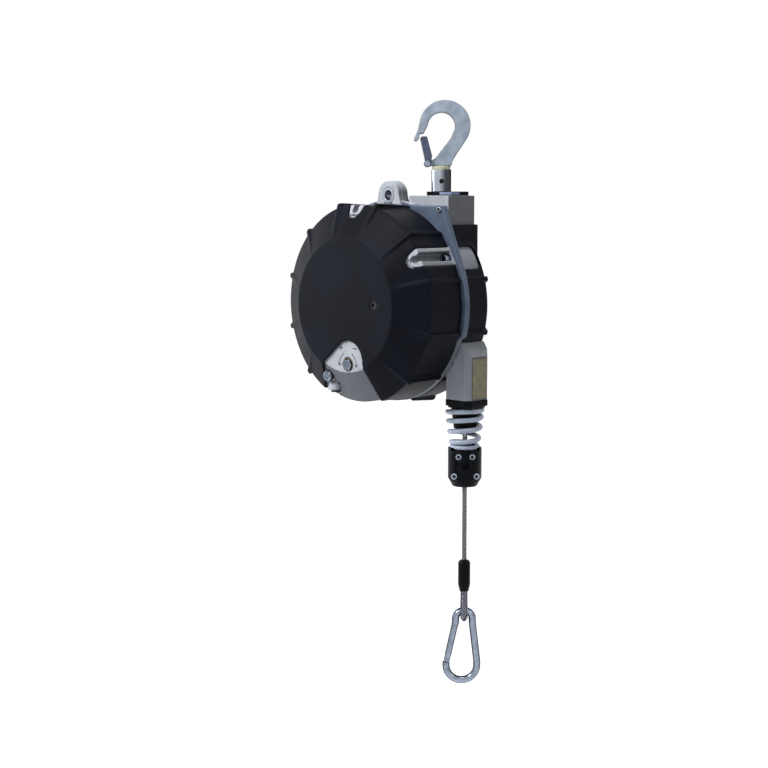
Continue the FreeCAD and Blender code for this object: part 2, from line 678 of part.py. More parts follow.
def screw_channels(piece):
    """Ring of clearance holes for the flange screws, each in a channel that lets a driver reach it."""
    channel = drill_y(piece, *FIRST_BOLT, "channel_radius", "-front_depth", "-flange_plate - 1")
    hole = drill_y(piece, *FIRST_BOLT, "bolt_radius + 0.2", "-front_depth", "1")
    polar(piece, [channel, hole], "bolt_count", "bolt_row")


def slot_outline(inset, mouth):
    """Outline of a front slot seen from the rim: a round front end, and straight sides back to the mouth."""
    half = f"(window_width / 2 - ({inset}))"
    bend = "-window_end + window_width / 2"
    return [(f"-{half}", bend, half, "ccw"), ("0", f"-window_end + {inset}", half, "ccw"),
            (half, bend), (half, mouth), (f"-{half}", mouth)]


def front_housing():
    casting = body("front_housing", "housing")
    casting_blank(casting, FRONT)
    block = block_z(casting, slot_outline("1", "-flange_plate"), "chamber_radius + 1", "cover_radius")
    polar(casting, [block], "window_count", "60")
    flange_corner(casting, "-flange_plate", "0")
    lug_half(casting, "-lug_front", "0")
    face, bend = shell_corners(*FRONT, "boss_inset")
    groove(casting, outline(sketch(casting, "YZ_Plane"), [
        ("-lug_front - 0.2", bend[1]), bend, face, ("-front_depth - 10", face[1]),
        ("-front_depth - 10", "cover_radius + 30"), ("-lug_front - 0.2", "cover_radius + 30")]))
    open_chamber(casting, FRONT)
    pad(casting, circle(at_z(casting, "foot_z"), "foot_x", "foot_y", "foot_radius"), "foot_height",
        TaperAngle=-number("foot_taper"))
    drill_z(casting, "foot_x", "foot_y", "foot_head + 1", "foot_z - foot_head", "foot_z")
    drill_z(casting, "foot_x", "foot_y", "foot_screw", "foot_z - 1", "foot_z + foot_height - 2")
    disc_y(casting, "lock_x", "lock_z", "lock_radius + lock_rim", "-lock_boss",
           "-case_front - sheet_wall - lid_gap")
    drill_y(casting, "lock_x", "lock_z", "lock_radius + lock_rim", "-front_depth", "-lock_boss")
    screw_channels(casting)
    trough = slot_outline("rim_land + 1", "-flange_plate - 1")
    trough = cut_z(casting, trough, "bolt_circle", "cover_radius + 1")
    polar(casting, [trough], "window_count", "60")
    drill_y(casting, "0", "0", "journal_radius + bush_wall", "-journal_front",
            "-journal_front + journal_length + 4")
    drill_y(casting, "adjuster_x", "-adjuster_drop", "pinion_shaft + bush_wall", "-front_depth",
            "-gear_front + 1")
    drill_y(casting, "adjuster_x", "-adjuster_drop", "hex_radius + 0.8", "-front_depth",
            f"-front_depth + {SKIN} + spot_depth")
    drill_y(casting, "lock_x", "lock_z", "lock_radius + run_gap", "-front_depth", "-front_crease + 7")
    drill_y(casting, "cover_screw_x", "cover_screw_z", "cover_screw", "-front_depth",
            f"-front_depth + {SKIN} + 4.5")
    return casting


def rear_housing():
    casting = body("rear_housing", "housing")
    casting_blank(casting, REAR)
    flange_corner(casting, "0", "flange_plate")
    lug_half(casting, "0", "lug_back")
    block_y(casting, rectangle("block_left", "40", "block_right", "block_top"), "flange_plate", "block_back")
    right = "neck_middle + neck_width / 2"
    front, back = "setback - neck_depth / 2", "setback + neck_depth / 2"
    block_z(casting, neck_octagon("0"), "-neck_bottom", "-neck_top")
    cut_y(casting, [(f"{right} + 0.1", "-neck_shoulder"), (f"{right} + 0.1", "-neck_top + 1"),
                    (f"{right} - 10", "-neck_top + 1"), (f"{right} - 9.7", "-neck_top")],
          f"{front} - 1", f"{back} + 1")
    open_chamber(casting, REAR)
    disc_y(casting, "0", "0", "journal_radius + bush_wall + 4", "rear_boss", f"rear_depth - ({INSIDE}) + 1")
    thread = drill_y(casting, *FIRST_BOLT, "bolt_radius", "-1", "thread_depth")
    polar(casting, [thread], "bolt_count", "bolt_row")
    drill_y(casting, "0", "0", "journal_radius + bush_wall", "rear_boss - 1", "rear_boss + rear_journal")
    drill_z(casting, "hook_offset", "setback", "spindle_radius + bush_wall", "0", "block_top + 1")
    drill_z(casting, "hook_offset", "setback", "thrust_radius + 2", "0", "axis_drop - pocket_top")
    drill_z(casting, "rope_offset", "setback", "neck_bore", "-neck_bottom - 1", "-20")
    drill_y(casting, "-cover_screw_x", "cover_screw_z", "cover_screw", f"rear_depth - ({SKIN}) - 4.5",
            "rear_depth")
    return casting


def cover_shell(piece, side):
    """Turned moulding of even wall with its ring of ribs."""
    way = side[0]
    face, bend = shell_corners(*side, "0")
    inner_face, inner_bend = shell_corners(*side, "cover_wall")
    opening = f"{way}(flange_plate + cover_gap)"
    revolve(piece, outline(sketch(piece, "YZ_Plane"), [
        (opening, bend[1]), bend, face, (face[0], "0"), (inner_face[0], "0"), inner_face, inner_bend,
        (opening, inner_bend[1])]))
    rib = pad(piece, outline(sketch(piece, "YZ_Plane", turn="180 / rib_count"), [
        (opening, f"{bend[1]} - cover_wall / 2"), (opening, f"{bend[1]} + rib_height - rib_fall"),
        (bend[0], f"{bend[1]} + rib_height"), face, (inner_bend[0], f"{bend[1]} - cover_wall / 2")]),
        "rib_width", Midplane=True)
    polar(piece, [rib], "rib_count")


def front_cover():
    """Front moulding with two slots over the screw channels and the arched cut-out of the adjuster."""
    cover = body("front_cover", "housing")
    cover_shell(cover, FRONT)
    slot = cut_z(cover, slot_outline("0", "-flange_plate + 1"), "chamber_radius - 8",
                 "cover_radius + rib_height + 2")
    polar(cover, [slot], "window_count", "60")
    cut_y(cover, [("cut_right + cut_flare", "-cut_low"), ("cut_right", "-cut_height", "cut_radius", "ccw"),
                  ("cut_right - cut_radius * (1 + cos(45))", "-cut_height + cut_radius * sin(45)"),
                  ("cut_left", "-cut_height - 4"), ("cut_left - 30", "-cut_low")], "-front_depth - 1", "0")
    cut_y(cover, rectangle("-lug_base - cover_gap", "bolt_circle - 1", "lug_base + cover_gap", "lug_height"),
          "-lug_front - cover_gap", "0")
    place_of_screw = ("cover_screw_x", "cover_screw_z")
    drill_y(cover, *place_of_screw, "cover_screw + 0.3", "-front_depth - 1", "-front_depth + 5")
    drill_y(cover, *place_of_screw, "cover_screw + screw_head + 0.6", "-front_depth - 1",
            "-front_depth + screw_sink")
    return cover


def rear_cover():
    """Rear moulding with the wrap round the hook block, its side window and the way out for the neck."""
    cover = body("rear_cover", "housing")
    cover_shell(cover, REAR)
    skin = "cover_wall + cover_gap"
    opening = "flange_plate + cover_gap"
    block_y(cover, rectangle(f"block_left - {skin}", "45", f"block_right + {skin}", "wrap_top"),
            opening, f"block_back + {skin}")
    cut_y(cover, rectangle("block_left - cover_gap", "25", "block_right + cover_gap", "block_top"),
          "0", "block_back + cover_gap")
    face, bend = shell_corners(*REAR, "cover_wall")
    groove(cover, outline(sketch(cover, "YZ_Plane"), [
        ("0", "0"), ("0", bend[1]), bend, face, (face[0], "0")]))
    block = outline(sketch(cover, "YZ_Plane", "block_right - 5"), [
        ("window_front", "window_low"), ("rear_window_end", "window_low"),
        ("rear_window_end + slot_corner", "window_low + slot_corner"),
        ("rear_window_end + slot_corner", "window_high - slot_corner"),
        ("rear_window_end", "window_high"), ("window_front", "window_high")])
    pocket(cover, block, "cover_radius", Reversed=True)
    edge = "neck_middle - neck_width / 2 - cover_gap"
    cut_y(cover, rectangle(edge, "-neck_bottom - 20", "neck_middle + neck_width", "-neck_top + cover_gap"),
          "0", "setback + neck_depth / 2 + cover_gap")
    cut_y(cover, rectangle("-lug_base - cover_gap", "bolt_circle - 1", "lug_base + cover_gap", "lug_height"),
          "0", "lug_back + cover_gap")
    place_of_screw = ("-cover_screw_x", "cover_screw_z")
    drill_y(cover, *place_of_screw, "cover_screw + 0.3", "rear_depth - 5", "rear_depth + 1")
    drill_y(cover, *place_of_screw, "cover_screw + screw_head + 0.6", "rear_depth - screw_sink",
            "rear_depth + 1")
    return cover


def cylinders(name, frame, rows):
    """Separate fasteners, each a fused row of cylinders: (centre, direction, [(from, to, radius)])."""
    pieces = []
    for centre, direction, steps in rows:
        shape = None
        for start, finish, radius in steps:
            step = Part.makeCylinder(number(radius), number(f"({finish}) - ({start})"),
                                     centre + direction * number(start), direction)
            shape = step if shape is None else shape.fuse(step)
        pieces.append(shape)
    return solid(name, frame, Part.makeCompound(pieces) if len(pieces) > 1 else pieces[0])


def bolt_places():
    """Centres of the flange screws in the joint plane, in the same row as their channels."""
    places = []
    for index in range(int(number("bolt_count"))):
        angle = math.radians(210 - number("bolt_row") * index / (number("bolt_count") - 1))
        places.append(Vector(math.cos(angle), 0, math.sin(angle)) * number("bolt_circle"))
    return places


def housing_fittings():
    along = [("-flange_plate - 1 - bolt_head", "-flange_plate - 1", "bolt_head"),
             ("-flange_plate - 1", "thread_depth - 1", "bolt_radius")]
    cylinders("flange_screws", "housing", [(centre, BACK, along) for centre in bolt_places()])
    place_of_screw = Vector(number(CORNER_HOLE[0]), 0, number(CORNER_HOLE[1]))
    cylinders("corner_screw", "housing", [(place_of_screw, BACK, [
        ("-flange_plate - 1.8", "-flange_plate", "corner_screw + 1.2"),
        ("-flange_plate", "flange_plate", "corner_screw")])])
    cylinders("cover_screws", "housing", [
        (Vector(number("cover_screw_x"), 0, number("cover_screw_z")), BACK,
         [("-front_depth + 0.2", "-front_depth + screw_sink", "cover_screw + screw_head"),
          ("-front_depth + screw_sink", f"-front_depth + {SKIN} + 4", "cover_screw")]),
        (Vector(number("-cover_screw_x"), 0, number("cover_screw_z")), BACK,
         [(f"rear_depth - ({SKIN}) - 4", "rear_depth - screw_sink", "cover_screw"),
          ("rear_depth - screw_sink", "rear_depth - 0.2", "cover_screw + screw_head")])])
    cylinders("foot_screw", "housing", [(Vector(number("foot_x"), number("foot_y"), number("foot_z")), UP, [
        ("-foot_screw", "0", "foot_head"), ("0", "foot_height - 3", "foot_screw")])])
    pin_y("lug_bush", "0", "lug_height", [("-lug_front - 0.2", "lug_back + 0.2", "eye_radius")], "bush_bore")
    pin_y("front_bush", "0", "0", [("-journal_front", "-journal_front + journal_length",
                                    "journal_radius + bush_wall")], "journal_radius + run_gap")
    pin_y("rear_bush", "0", "0", [("rear_boss", "rear_boss + rear_journal", "journal_radius + bush_wall")],
          "journal_radius + run_gap")
    pin_y("adjuster_bush", "adjuster_x", "-adjuster_drop", [
        (f"-front_depth + {SKIN} + spot_depth", "-gear_front - 1.5", "pinion_shaft + bush_wall")],
        "pinion_shaft + run_gap")
    bush = body("swivel_bush", "housing")
    ceiling = "axis_drop - pocket_top"
    disc_z(bush, "hook_offset", "setback", "spindle_radius + bush_wall", ceiling, "block_top")
    drill_z(bush, "hook_offset", "setback", "spindle_radius + run_gap", f"{ceiling} - 1", "block_top + 1")
    plate = body("swivel_plate", "housing")
    block_z(plate, rectangle("hook_offset - plate_length / 2 + plate_shift", "setback - plate_depth / 2",
                             "hook_offset + plate_length / 2 + plate_shift", "setback + plate_depth / 2"),
            "block_top", "axis_drop - plate_top - 0.1")
    drill_z(plate, "hook_offset", "setback", "spindle_radius + 0.3", "block_top - 1", "block_top + 10")
    label = body("rating_plate", "housing")
    side = "neck_middle + neck_width / 2"
    drawing = outline(sketch(label, "YZ_Plane", side), rectangle(
        "setback - neck_depth / 2 + neck_chamfer + 0.8", "-neck_bottom + 2",
        "setback + neck_depth / 2 - neck_chamfer - 0.8", "-neck_shoulder - 2"))
    pad(label, drawing, "label_sheet")


def neck_octagon(grow):
    """Outline of the rope neck seen from above, grown or shrunk."""
    left, right = f"neck_middle - neck_width / 2 - ({grow})", f"neck_middle + neck_width / 2 + {grow}"
    front, back = f"setback - neck_depth / 2 - ({grow})", f"setback + neck_depth / 2 + {grow}"
    return [(f"{left} + neck_chamfer", front), (f"{right} - neck_chamfer", front),
            (right, f"{front} + neck_chamfer"), (right, f"{back} - neck_chamfer"),
            (f"{right} - neck_chamfer", back), (f"{left} + neck_chamfer", back),
            (left, f"{back} - neck_chamfer"), (left, f"{front} + neck_chamfer")]


def neck_fittings():
    collar = body("neck_collar", "housing")
    low = "-neck_bottom - collar_height"
    block_z(collar, neck_octagon("0.4"), low, "-neck_bottom")
    block_z(collar, neck_octagon("-1.4"), f"{low} - collar_step", low)
    drill_z(collar, "rope_offset", "setback", "neck_bore", f"{low} - collar_step - 1", "-neck_bottom + 1")
    seat = "neck_bottom + collar_height + collar_step"
    foot, spigot = f"-({seat}) - core_length", f"-({seat}) + guide_spigot"
    turned_z("rope_guide", "load", [
        ("guide_bore", foot), ("core_end_radius", foot), ("core_radius", f"-({seat})"),
        ("neck_bore", f"-({seat})"), ("neck_bore", spigot), ("guide_bore", spigot)])


# ---------------------------------------------------------------- arbor, gears and drum

def gear(x, z, teeth, other, clearance_turn, steps, bore):
    """Spur gear with involute flanks about an axis parallel to Y, with turned steps on its axis."""
    count = int(number(teeth))
    module = 2 * number("gear_centres") / (count + int(number(other)))
    lean = math.atan2(number("adjuster_x"), number("adjuster_drop"))
    pitch_radius = module * count / 2
    base = pitch_radius * math.cos(math.radians(20))
    root = pitch_radius - 1.2 * module
    tip = pitch_radius + number("addendum") * module
    half_tooth = math.pi / (2 * count) - number("backlash") / pitch_radius / 2
    involute = math.tan(math.radians(20)) - math.radians(20)
    flank = []
    for step in range(5):
        radius = max(base, root) + (tip - max(base, root)) * step / 4
        pressure = math.acos(min(base / radius, 1))
        flank.append((radius, half_tooth + involute - (math.tan(pressure) - pressure)))
    if root < base:
        flank.insert(0, (root, flank[0][1]))
    points = []
    for tooth in range(count):
        middle = 2 * math.pi * (tooth + clearance_turn) / count + math.pi / 2 + lean
        for radius, angle in flank:
            points.append((radius, middle - angle))
        for radius, angle in reversed(flank):
            points.append((radius, middle + angle))
    centre = Vector(number(x), -number("gear_front"), number(z))
    corners = []
    for radius, angle in points:
        corners.append(centre + (ACROSS * math.cos(angle) + UP * math.sin(angle)) * radius)
    shape = Part.Face(Part.makePolygon(corners + corners[:1])).extrude(BACK * number("gear_width"))
    axis_point = Vector(number(x), 0, number(z))
    for start, finish, radius in steps:
        shape = shape.fuse(Part.makeCylinder(number(radius), number(f"({finish}) - ({start})"),
                                             axis_point + BACK * number(start), BACK))
    if bore is not None:
        reach = number("front_depth")
        shape = shape.cut(Part.makeCylinder(number(bore), reach, axis_point - BACK * reach, BACK))
    return shape


def adjuster():
    back = "-gear_front + gear_width"
    wheel = gear("0", "0", "gear_teeth", "pinion_teeth", 0.5, [("-gear_front", f"{back} + 1", "13")],
                 "gear_seat")
    solid("tension_gear", "housing", wheel)
    head = f"-front_depth + {SKIN} + spot_depth - hex_height"
    pinion = gear("adjuster_x", "-adjuster_drop", "pinion_teeth", "gear_teeth", 0, [
        (f"{head} + hex_height", back, "pinion_shaft")], None)
    place_of_head = Vector(number("adjuster_x"), number(head), -number("adjuster_drop"))
    corners = []
    for side in range(6):
        angle = math.radians(60 * side)
        corner = (ACROSS * math.cos(angle) + UP * math.sin(angle)) * number("hex_radius")
        corners.append(place_of_head + corner)
    hexagon = Part.Face(Part.makePolygon(corners + corners[:1])).extrude(BACK * number("hex_height - 0.2"))
    start_of_neck = place_of_head + BACK * number("hex_height - 0.6")
    neck = Part.makeCylinder(number("pinion_shaft"), 1, start_of_neck, BACK)
    solid("adjuster_pinion", "housing", pinion.fuse([hexagon, neck]).removeSplitter())
    pin_y("main_shaft", "0", "0", [
        ("-journal_front", "-journal_front + journal_length", "journal_radius"),
        ("-journal_front + journal_length", f"{back} + 1", "gear_seat"),
        (f"{back} + 1", "-case_front + sheet_wall + 0.2", "bearing_seat"),
        ("-case_front + sheet_wall + 0.2", "-drum_front - sheet_wall - 0.3", "arbor_radius"),
        ("-drum_front - sheet_wall - 0.3", "rear_boss", "bearing_seat"),
        ("rear_boss", "rear_boss + rear_journal", "journal_radius")])


def coil_of_strip(inner, outer, strip, turns, low, high):
    """Flat spiral of steel strip round the drum axis, from low to high in Y, made of half circles."""
    growth = (outer - inner - strip) / (2 * turns)
    edges = []
    ends = []
    for thickness in (0, strip):
        for step in range(2 * turns):
            side = 1 if step % 2 == 0 else -1
            centre = Vector(growth if side < 0 else 0, low, 0)
            reach = Vector(side * (inner + growth * step + thickness), 0, 0)
            edges.append(Part.Arc(centre + reach, centre + Vector(0, 0, reach.x), centre - reach).toShape())
        ends.append((Vector(inner + thickness, low, 0), centre - reach))
    edges += [Part.makeLine(*pair) for pair in zip(*ends)]
    return Part.Face(Part.Wire(Part.__sortEdges__(edges))).extrude(BACK * (high - low))


def drum_group():
    """Conical rope drum, the spring case on its front and the power spring inside it."""
    drum = body("rope_drum", "housing")
    reach = "(rope_radius + groove_gap)"
    half = "sqrt((rope_radius + groove_gap) ^ 2 - groove_lie ^ 2)"
    grooves = []
    for turn in reversed(range(int(number("rope_coils")))):
        middle, height = f"setback - rope_pitch * {turn}", f"rope_offset + rope_rise * {turn} - groove_lie"
        grooves += [(f"{middle} - {half}", height, reach, "ccw"), (f"{middle} + {half}", height)]
    revolve(drum, outline(sketch(drum, "YZ_Plane"), [
        ("-drum_front", "bearing_seat + 2"), ("-drum_front", "drum_flange"),
        ("-drum_front + drum_lip", "drum_flange"), ("-drum_front + drum_lip", grooves[0][1])] + grooves + [
        ("drum_back - drum_lip / 2", grooves[-1][1]), ("drum_back - drum_lip / 2", "drum_flange - 1"),
        ("drum_back", "drum_flange - 1"), ("drum_back", "drum_rim_inside"),
        ("-drum_front + drum_web", "drum_rim_inside"), ("-drum_front + drum_web", "drum_hub"),
        ("drum_back", "drum_hub"), ("drum_back", "bearing_seat + 2")]))
    seats = [("-drum_front", "-drum_front + bearing_width"), ("drum_back - bearing_width", "drum_back")]
    for start, finish in seats:
        seat = rectangle(start, "bearing_seat", finish, "bearing_radius")
        groove(drum, outline(sketch(drum, "YZ_Plane"), seat))
    socket = drill_y(drum, "lock_x", "lock_z", "lock_radius + 0.4", "-drum_front - 1",
                     "-drum_front + drum_web + 1")
    polar(drum, [socket], "lock_sockets")
    front = "-case_front"
    case = body("spring_case", "housing")
    revolve(case, outline(sketch(case, "YZ_Plane"), [
        (front, "case_radius"), ("-drum_front", "case_radius"), ("-drum_front", "bearing_seat + 4"),
        ("-drum_front - sheet_wall", "bearing_seat + 4"),
        ("-drum_front - sheet_wall", "case_radius - sheet_wall"), (front, "case_radius - sheet_wall")]))
    pin_y("spring_lid", "0", "0", [(f"{front} - sheet_wall", front, "case_radius")], "bearing_seat + 4")
    spiral = coil_of_strip(number("arbor_radius + 0.3"), number("case_radius - sheet_wall"),
                           number("spring_strip"), int(number("spring_turns")),
                           number(f"{front} + 1"), number("-drum_front - sheet_wall - 1"))
    solid("power_spring", "housing", spiral)
    for name, inner, outer in (("bearing_inner_rings", "bearing_seat", "bearing_seat + 2.2"),
                               ("bearing_outer_rings", "bearing_seat + 2.3", "bearing_radius")):
        rings = []
        for start, finish in seats:
            width = number(f"({finish}) - ({start})")
            whole = Part.makeCylinder(number(outer), width, BACK * number(start), BACK)
            rings.append(whole.cut(Part.makeCylinder(number(inner), width, BACK * number(start), BACK)))
        solid(name, "housing", Part.makeCompound(rings))
    turns = []
    for turn in range(int(number("rope_coils"))):
        radius = number(f"rope_offset + rope_rise * {turn}")
        centre = Vector(radius, number(f"setback - rope_pitch * {turn}"), 0)
        section = Part.Face(Part.Wire(Part.makeCircle(number("rope_radius"), centre, UP)))
        span = 320 if turn == 0 else 360
        turns.append(section.revolve(Vector(0, 0, 0), Vector(0, -1, 0), span))
    solid("rope_turns", "housing", Part.makeCompound(turns))


def safety_pawl():
    pivot = Vector(0, 0, number("pawl_radius"))
    front, back = "pawl_front", "pawl_front + pawl_width"
    pawl = body("safety_pawl", "housing")
    block_y(pawl, [("-5", "pawl_radius - 5"), ("5", "pawl_radius - 5"), ("5", "pawl_radius + 3"),
                   ("24", "pawl_reach - 6"), ("20", "pawl_reach"), ("-5", "pawl_radius + 5")], front, back)
    drill_y(pawl, "0", "pawl_radius", "pawl_pin + run_gap", f"{front} - 1", f"{back} + 1")
    cylinders("pawl_pin", "housing", [(pivot, BACK, [("-drum_front + drum_web", f"{back} + 0.4", "pawl_pin"),
                                                     (f"{back} + 0.4", f"{back} + 1.6", "pawl_pin + 1.5")])])


def drum_lock():
    pin_y("drum_lock_pin", "lock_x", "lock_z", [
        ("-lock_boss - lock_travel - 4.5", "-lock_boss - lock_travel - 0.5", "lock_knob"),
        ("-lock_boss - lock_travel - 0.5", "-drum_front - 1.5", "lock_radius")])


# ---------------------------------------------------------------- buffer, stop and rope

def buffer_spring():
    """Conical buffer spring, wide end at the collar."""
    top = number("neck_bottom + collar_height + collar_step + wire_radius")
    low = number("stop_top + stop_recess - seat_gap - wire_radius")
    rise = low - top
    wide, narrow = number("spring_top_radius"), number("spring_end_radius")
    turns = number("spring_coils")
    helix = Part.makeHelix(rise / turns, rise, narrow, math.degrees(math.atan((wide - narrow) / rise)))
    helix.translate(Vector(0, 0, -low))
    section = Part.Wire(Part.makeCircle(number("wire_radius"), Vector(narrow, 0, -low), BACK))
    shape = Part.Wire(helix.Edges).makePipeShell([section], True, True)
    return solid("buffer_spring", "load", shape)


def stop_half(name, front, back):
    low = "stop_top + stop_height"
    half = turned_z(name, "load", [
        ("rope_radius + groove_gap", "-stop_top + boss_height"), ("boss_radius", "-stop_top + boss_height"),
        ("boss_radius", "-stop_top - stop_recess"), ("stop_radius - 1.4", "-stop_top - stop_recess"),
        ("stop_radius - 1.4", "-stop_top"), ("stop_radius", "-stop_top"),
        ("stop_radius", f"-({low}) + stop_taper"), ("stop_end_radius", f"-({low})"),
        ("rope_radius + groove_gap", f"-({low})")])
    cut_y(half, rectangle("-stop_radius - 1", f"-({low}) - 1", "stop_radius + 1",
                          "-stop_top + boss_height + 1"), front, back)
    return half


STOP_SCREWS = (("-7", "-stop_top - 8.6"), ("7", "-stop_top - 8.6"), ("-11.6", "-stop_top - 28.8"),
               ("11.6", "-stop_top - 28.8"))


def stop_group():
    front = stop_half("stop_front_half", "0", "stop_radius + 1")
    rear = stop_half("stop_rear_half", "-stop_radius - 1", "0")
    for x, z in STOP_SCREWS:
        drill_y(front, x, z, "1.7", "-stop_radius - 1", "1")
        drill_y(front, x, z, "stop_screw + 0.3", "-stop_radius - 1", "-screw_seat")
        drill_y(rear, x, z, "1.5", "-1", "8")
    drill_y(front, "0", "-stop_top - 17.5", "3.5", "-stop_radius - 1", "-stop_radius + 7")
    along = [("-screw_seat - 3.2", "-screw_seat", "stop_screw"), ("-screw_seat", "7.5", "1.5")]
    cylinders("stop_screws", "load",
              [(Vector(number(x), 0, number(z)), BACK, along) for x, z in STOP_SCREWS])


def rope_piece(name, high, low):
    piece = document.addObject("Part::Cylinder", name)
    piece.Label = name
    bind(piece, "Radius", "rope_radius")
    bind(piece, "Height", f"({low}) - ({high})")
    x, y, z, turn = FRAMES["load"]
    piece.Placement = Placement(Vector(number(x), number(y), number(f"({z}) - ({low})")), Rotation())
    bind(piece, "Placement.Base.x", x)
    bind(piece, "Placement.Base.y", y)
    bind(piece, "Placement.Base.z", f"{z} - ({low})")
    NODES.append(piece)


def rounded_path(points, radii):
    """Wire of straight runs joined by tangent arcs of the given radii."""
    edges = []
    start = points[0]
    for index, radius in enumerate(radii, start=1):
        corner = points[index]
        before = (points[index - 1] - corner).normalize()
        after = (points[index + 1] - corner).normalize()
        half = before.getAngle(after) / 2
        reach = radius / math.tan(half)
        first, last = corner + before * reach, corner + after * reach
        centre = corner + (before + after).normalize() * (radius / math.sin(half))
        if (first - start).Length > 1e-6:
            edges.append(Part.makeLine(start, first))
        middle = centre + (corner - centre).normalize() * radius
        edges.append(Part.Arc(first, middle, last).toShape())
        start = last
    if (points[-1] - start).Length > 1e-6:
        edges.append(Part.makeLine(start, points[-1]))
    return Part.Wire(edges)


def rod_between(start, end, radius):
    return Part.makeCylinder(radius, (end - start).Length, start, end - start)


def block_along(start, angle, half, wide, length):
    """Block from start along a line that leans from Z towards X, 2 x half thick and 2 x wide."""
    block = Part.makeBox(2 * wide, 2 * half, length, start - Vector(wide, half, 0))
    block.rotate(start, Vector(0, 1, 0), angle)
    return block


def rod(points, radii, radius):
    path = rounded_path(points, radii)
    direction = (points[1] - points[0]).normalize()
    section = Part.Wire(Part.makeCircle(radius, points[0], direction))
    return path.makePipeShell([section], True, True)


def drop(radius, centre, apex):
    """Drop-shaped face in the YZ plane: a round bottom with two tangents to a point above."""
    height = apex - centre
    angle = math.acos(radius / height)
    side = Vector(0, radius * math.sin(angle), centre + radius * math.cos(angle))
    left = Vector(0, -side.y, side.z)
    top = Vector(0, 0, apex)
    bottom = Vector(0, 0, centre - radius)
    edges = [Part.makeLine(top, side), Part.Arc(side, bottom, left).toShape(), Part.makeLine(left, top)]
    return Part.Face(Part.Wire(edges))


def rope_end():
    """Ferrule under its black sleeve, the rope's eye and the thimble in it."""
    top = "sleeve_top"
    low = "sleeve_top + sleeve_length"
    turned_z("rope_sleeve", "load", [
        ("rope_radius + groove_gap", f"-{top}"), ("sleeve_radius - 3", f"-{top}"),
        ("sleeve_radius - 1", f"-{top} - 1"), ("sleeve_radius", f"-{top} - 3"),
        ("sleeve_radius", f"-({low}) + 7"), ("sleeve_radius - 1.6", f"-({low})"),
        ("ferrule_radius", f"-({low})"), ("ferrule_radius", f"-{top} - 4"),
        ("rope_radius + groove_gap", f"-{top} - 4")])
    turned_z("rope_ferrule", "load", [
        ("0", f"-({low})"), ("ferrule_radius", f"-({low})"), ("ferrule_radius", f"-{top} - 4"),
        ("0", f"-{top} - 4")])
    crown = -number("eye_bottom")
    inner = number("thimble_inner")
    centre = crown + number("2 * rope_radius + thimble_sheet + groove_gap") + inner
    seat = inner + number("thimble_sheet")
    apex = -number(low) + number("thimble_nose")
    half = number("thimble_width") / 2
    channel = number("rope_radius + 2 * groove_gap")
    blank = drop(seat + number("rope_radius") * 1.2, centre, apex).extrude(Vector(2 * half, 0, 0))
    blank.translate(Vector(-half, 0, 0))
    hole = drop(inner, centre, apex - number("thimble_nose") - 3).extrude(Vector(2 * half, 0, 0))
    hole.translate(Vector(-half, 0, 0))
    bed = drop(seat + 12, centre, apex + 12).cut(drop(seat, centre, apex - number("thimble_nose")))
    bed = bed.extrude(Vector(2 * channel, 0, 0))
    bed.translate(Vector(-channel, 0, 0))
    keep = Part.makeBox(4 * half, 80, -number(low) - 0.3 - (crown - 20), Vector(-2 * half, -40, crown - 20))
    solid("thimble", "load", blank.cut(hole).cut(bed).common(keep))
    radius = seat + channel
    start = Vector(0, number("rope_radius") + 0.05, -number(low) - 0.1)
    distance = start.z - centre
    slope = math.atan2(start.y, distance) + math.acos(radius / math.hypot(distance, start.y))
    side = Vector(0, radius * math.sin(slope), centre + radius * math.cos(slope))
    bottom = Vector(0, 0, centre - radius)
    other = Vector(0, -side.y, side.z)
    path = Part.Wire([Part.makeLine(start, side), Part.Arc(side, bottom, other).toShape(),
                      Part.makeLine(other, Vector(0, -start.y, start.z))])
    section = Part.Wire(Part.makeCircle(number("rope_radius"), start, (side - start).normalize()))
    loop = path.makePipeShell([section], True, True)
    room = 4 * radius
    depth = start.z - 0.1 - bottom.z + room
    keep = Part.makeBox(2 * room, 2 * room, depth, Vector(-room, -room, bottom.z - room))
    solid("rope_eye", "load", loop.common(keep))


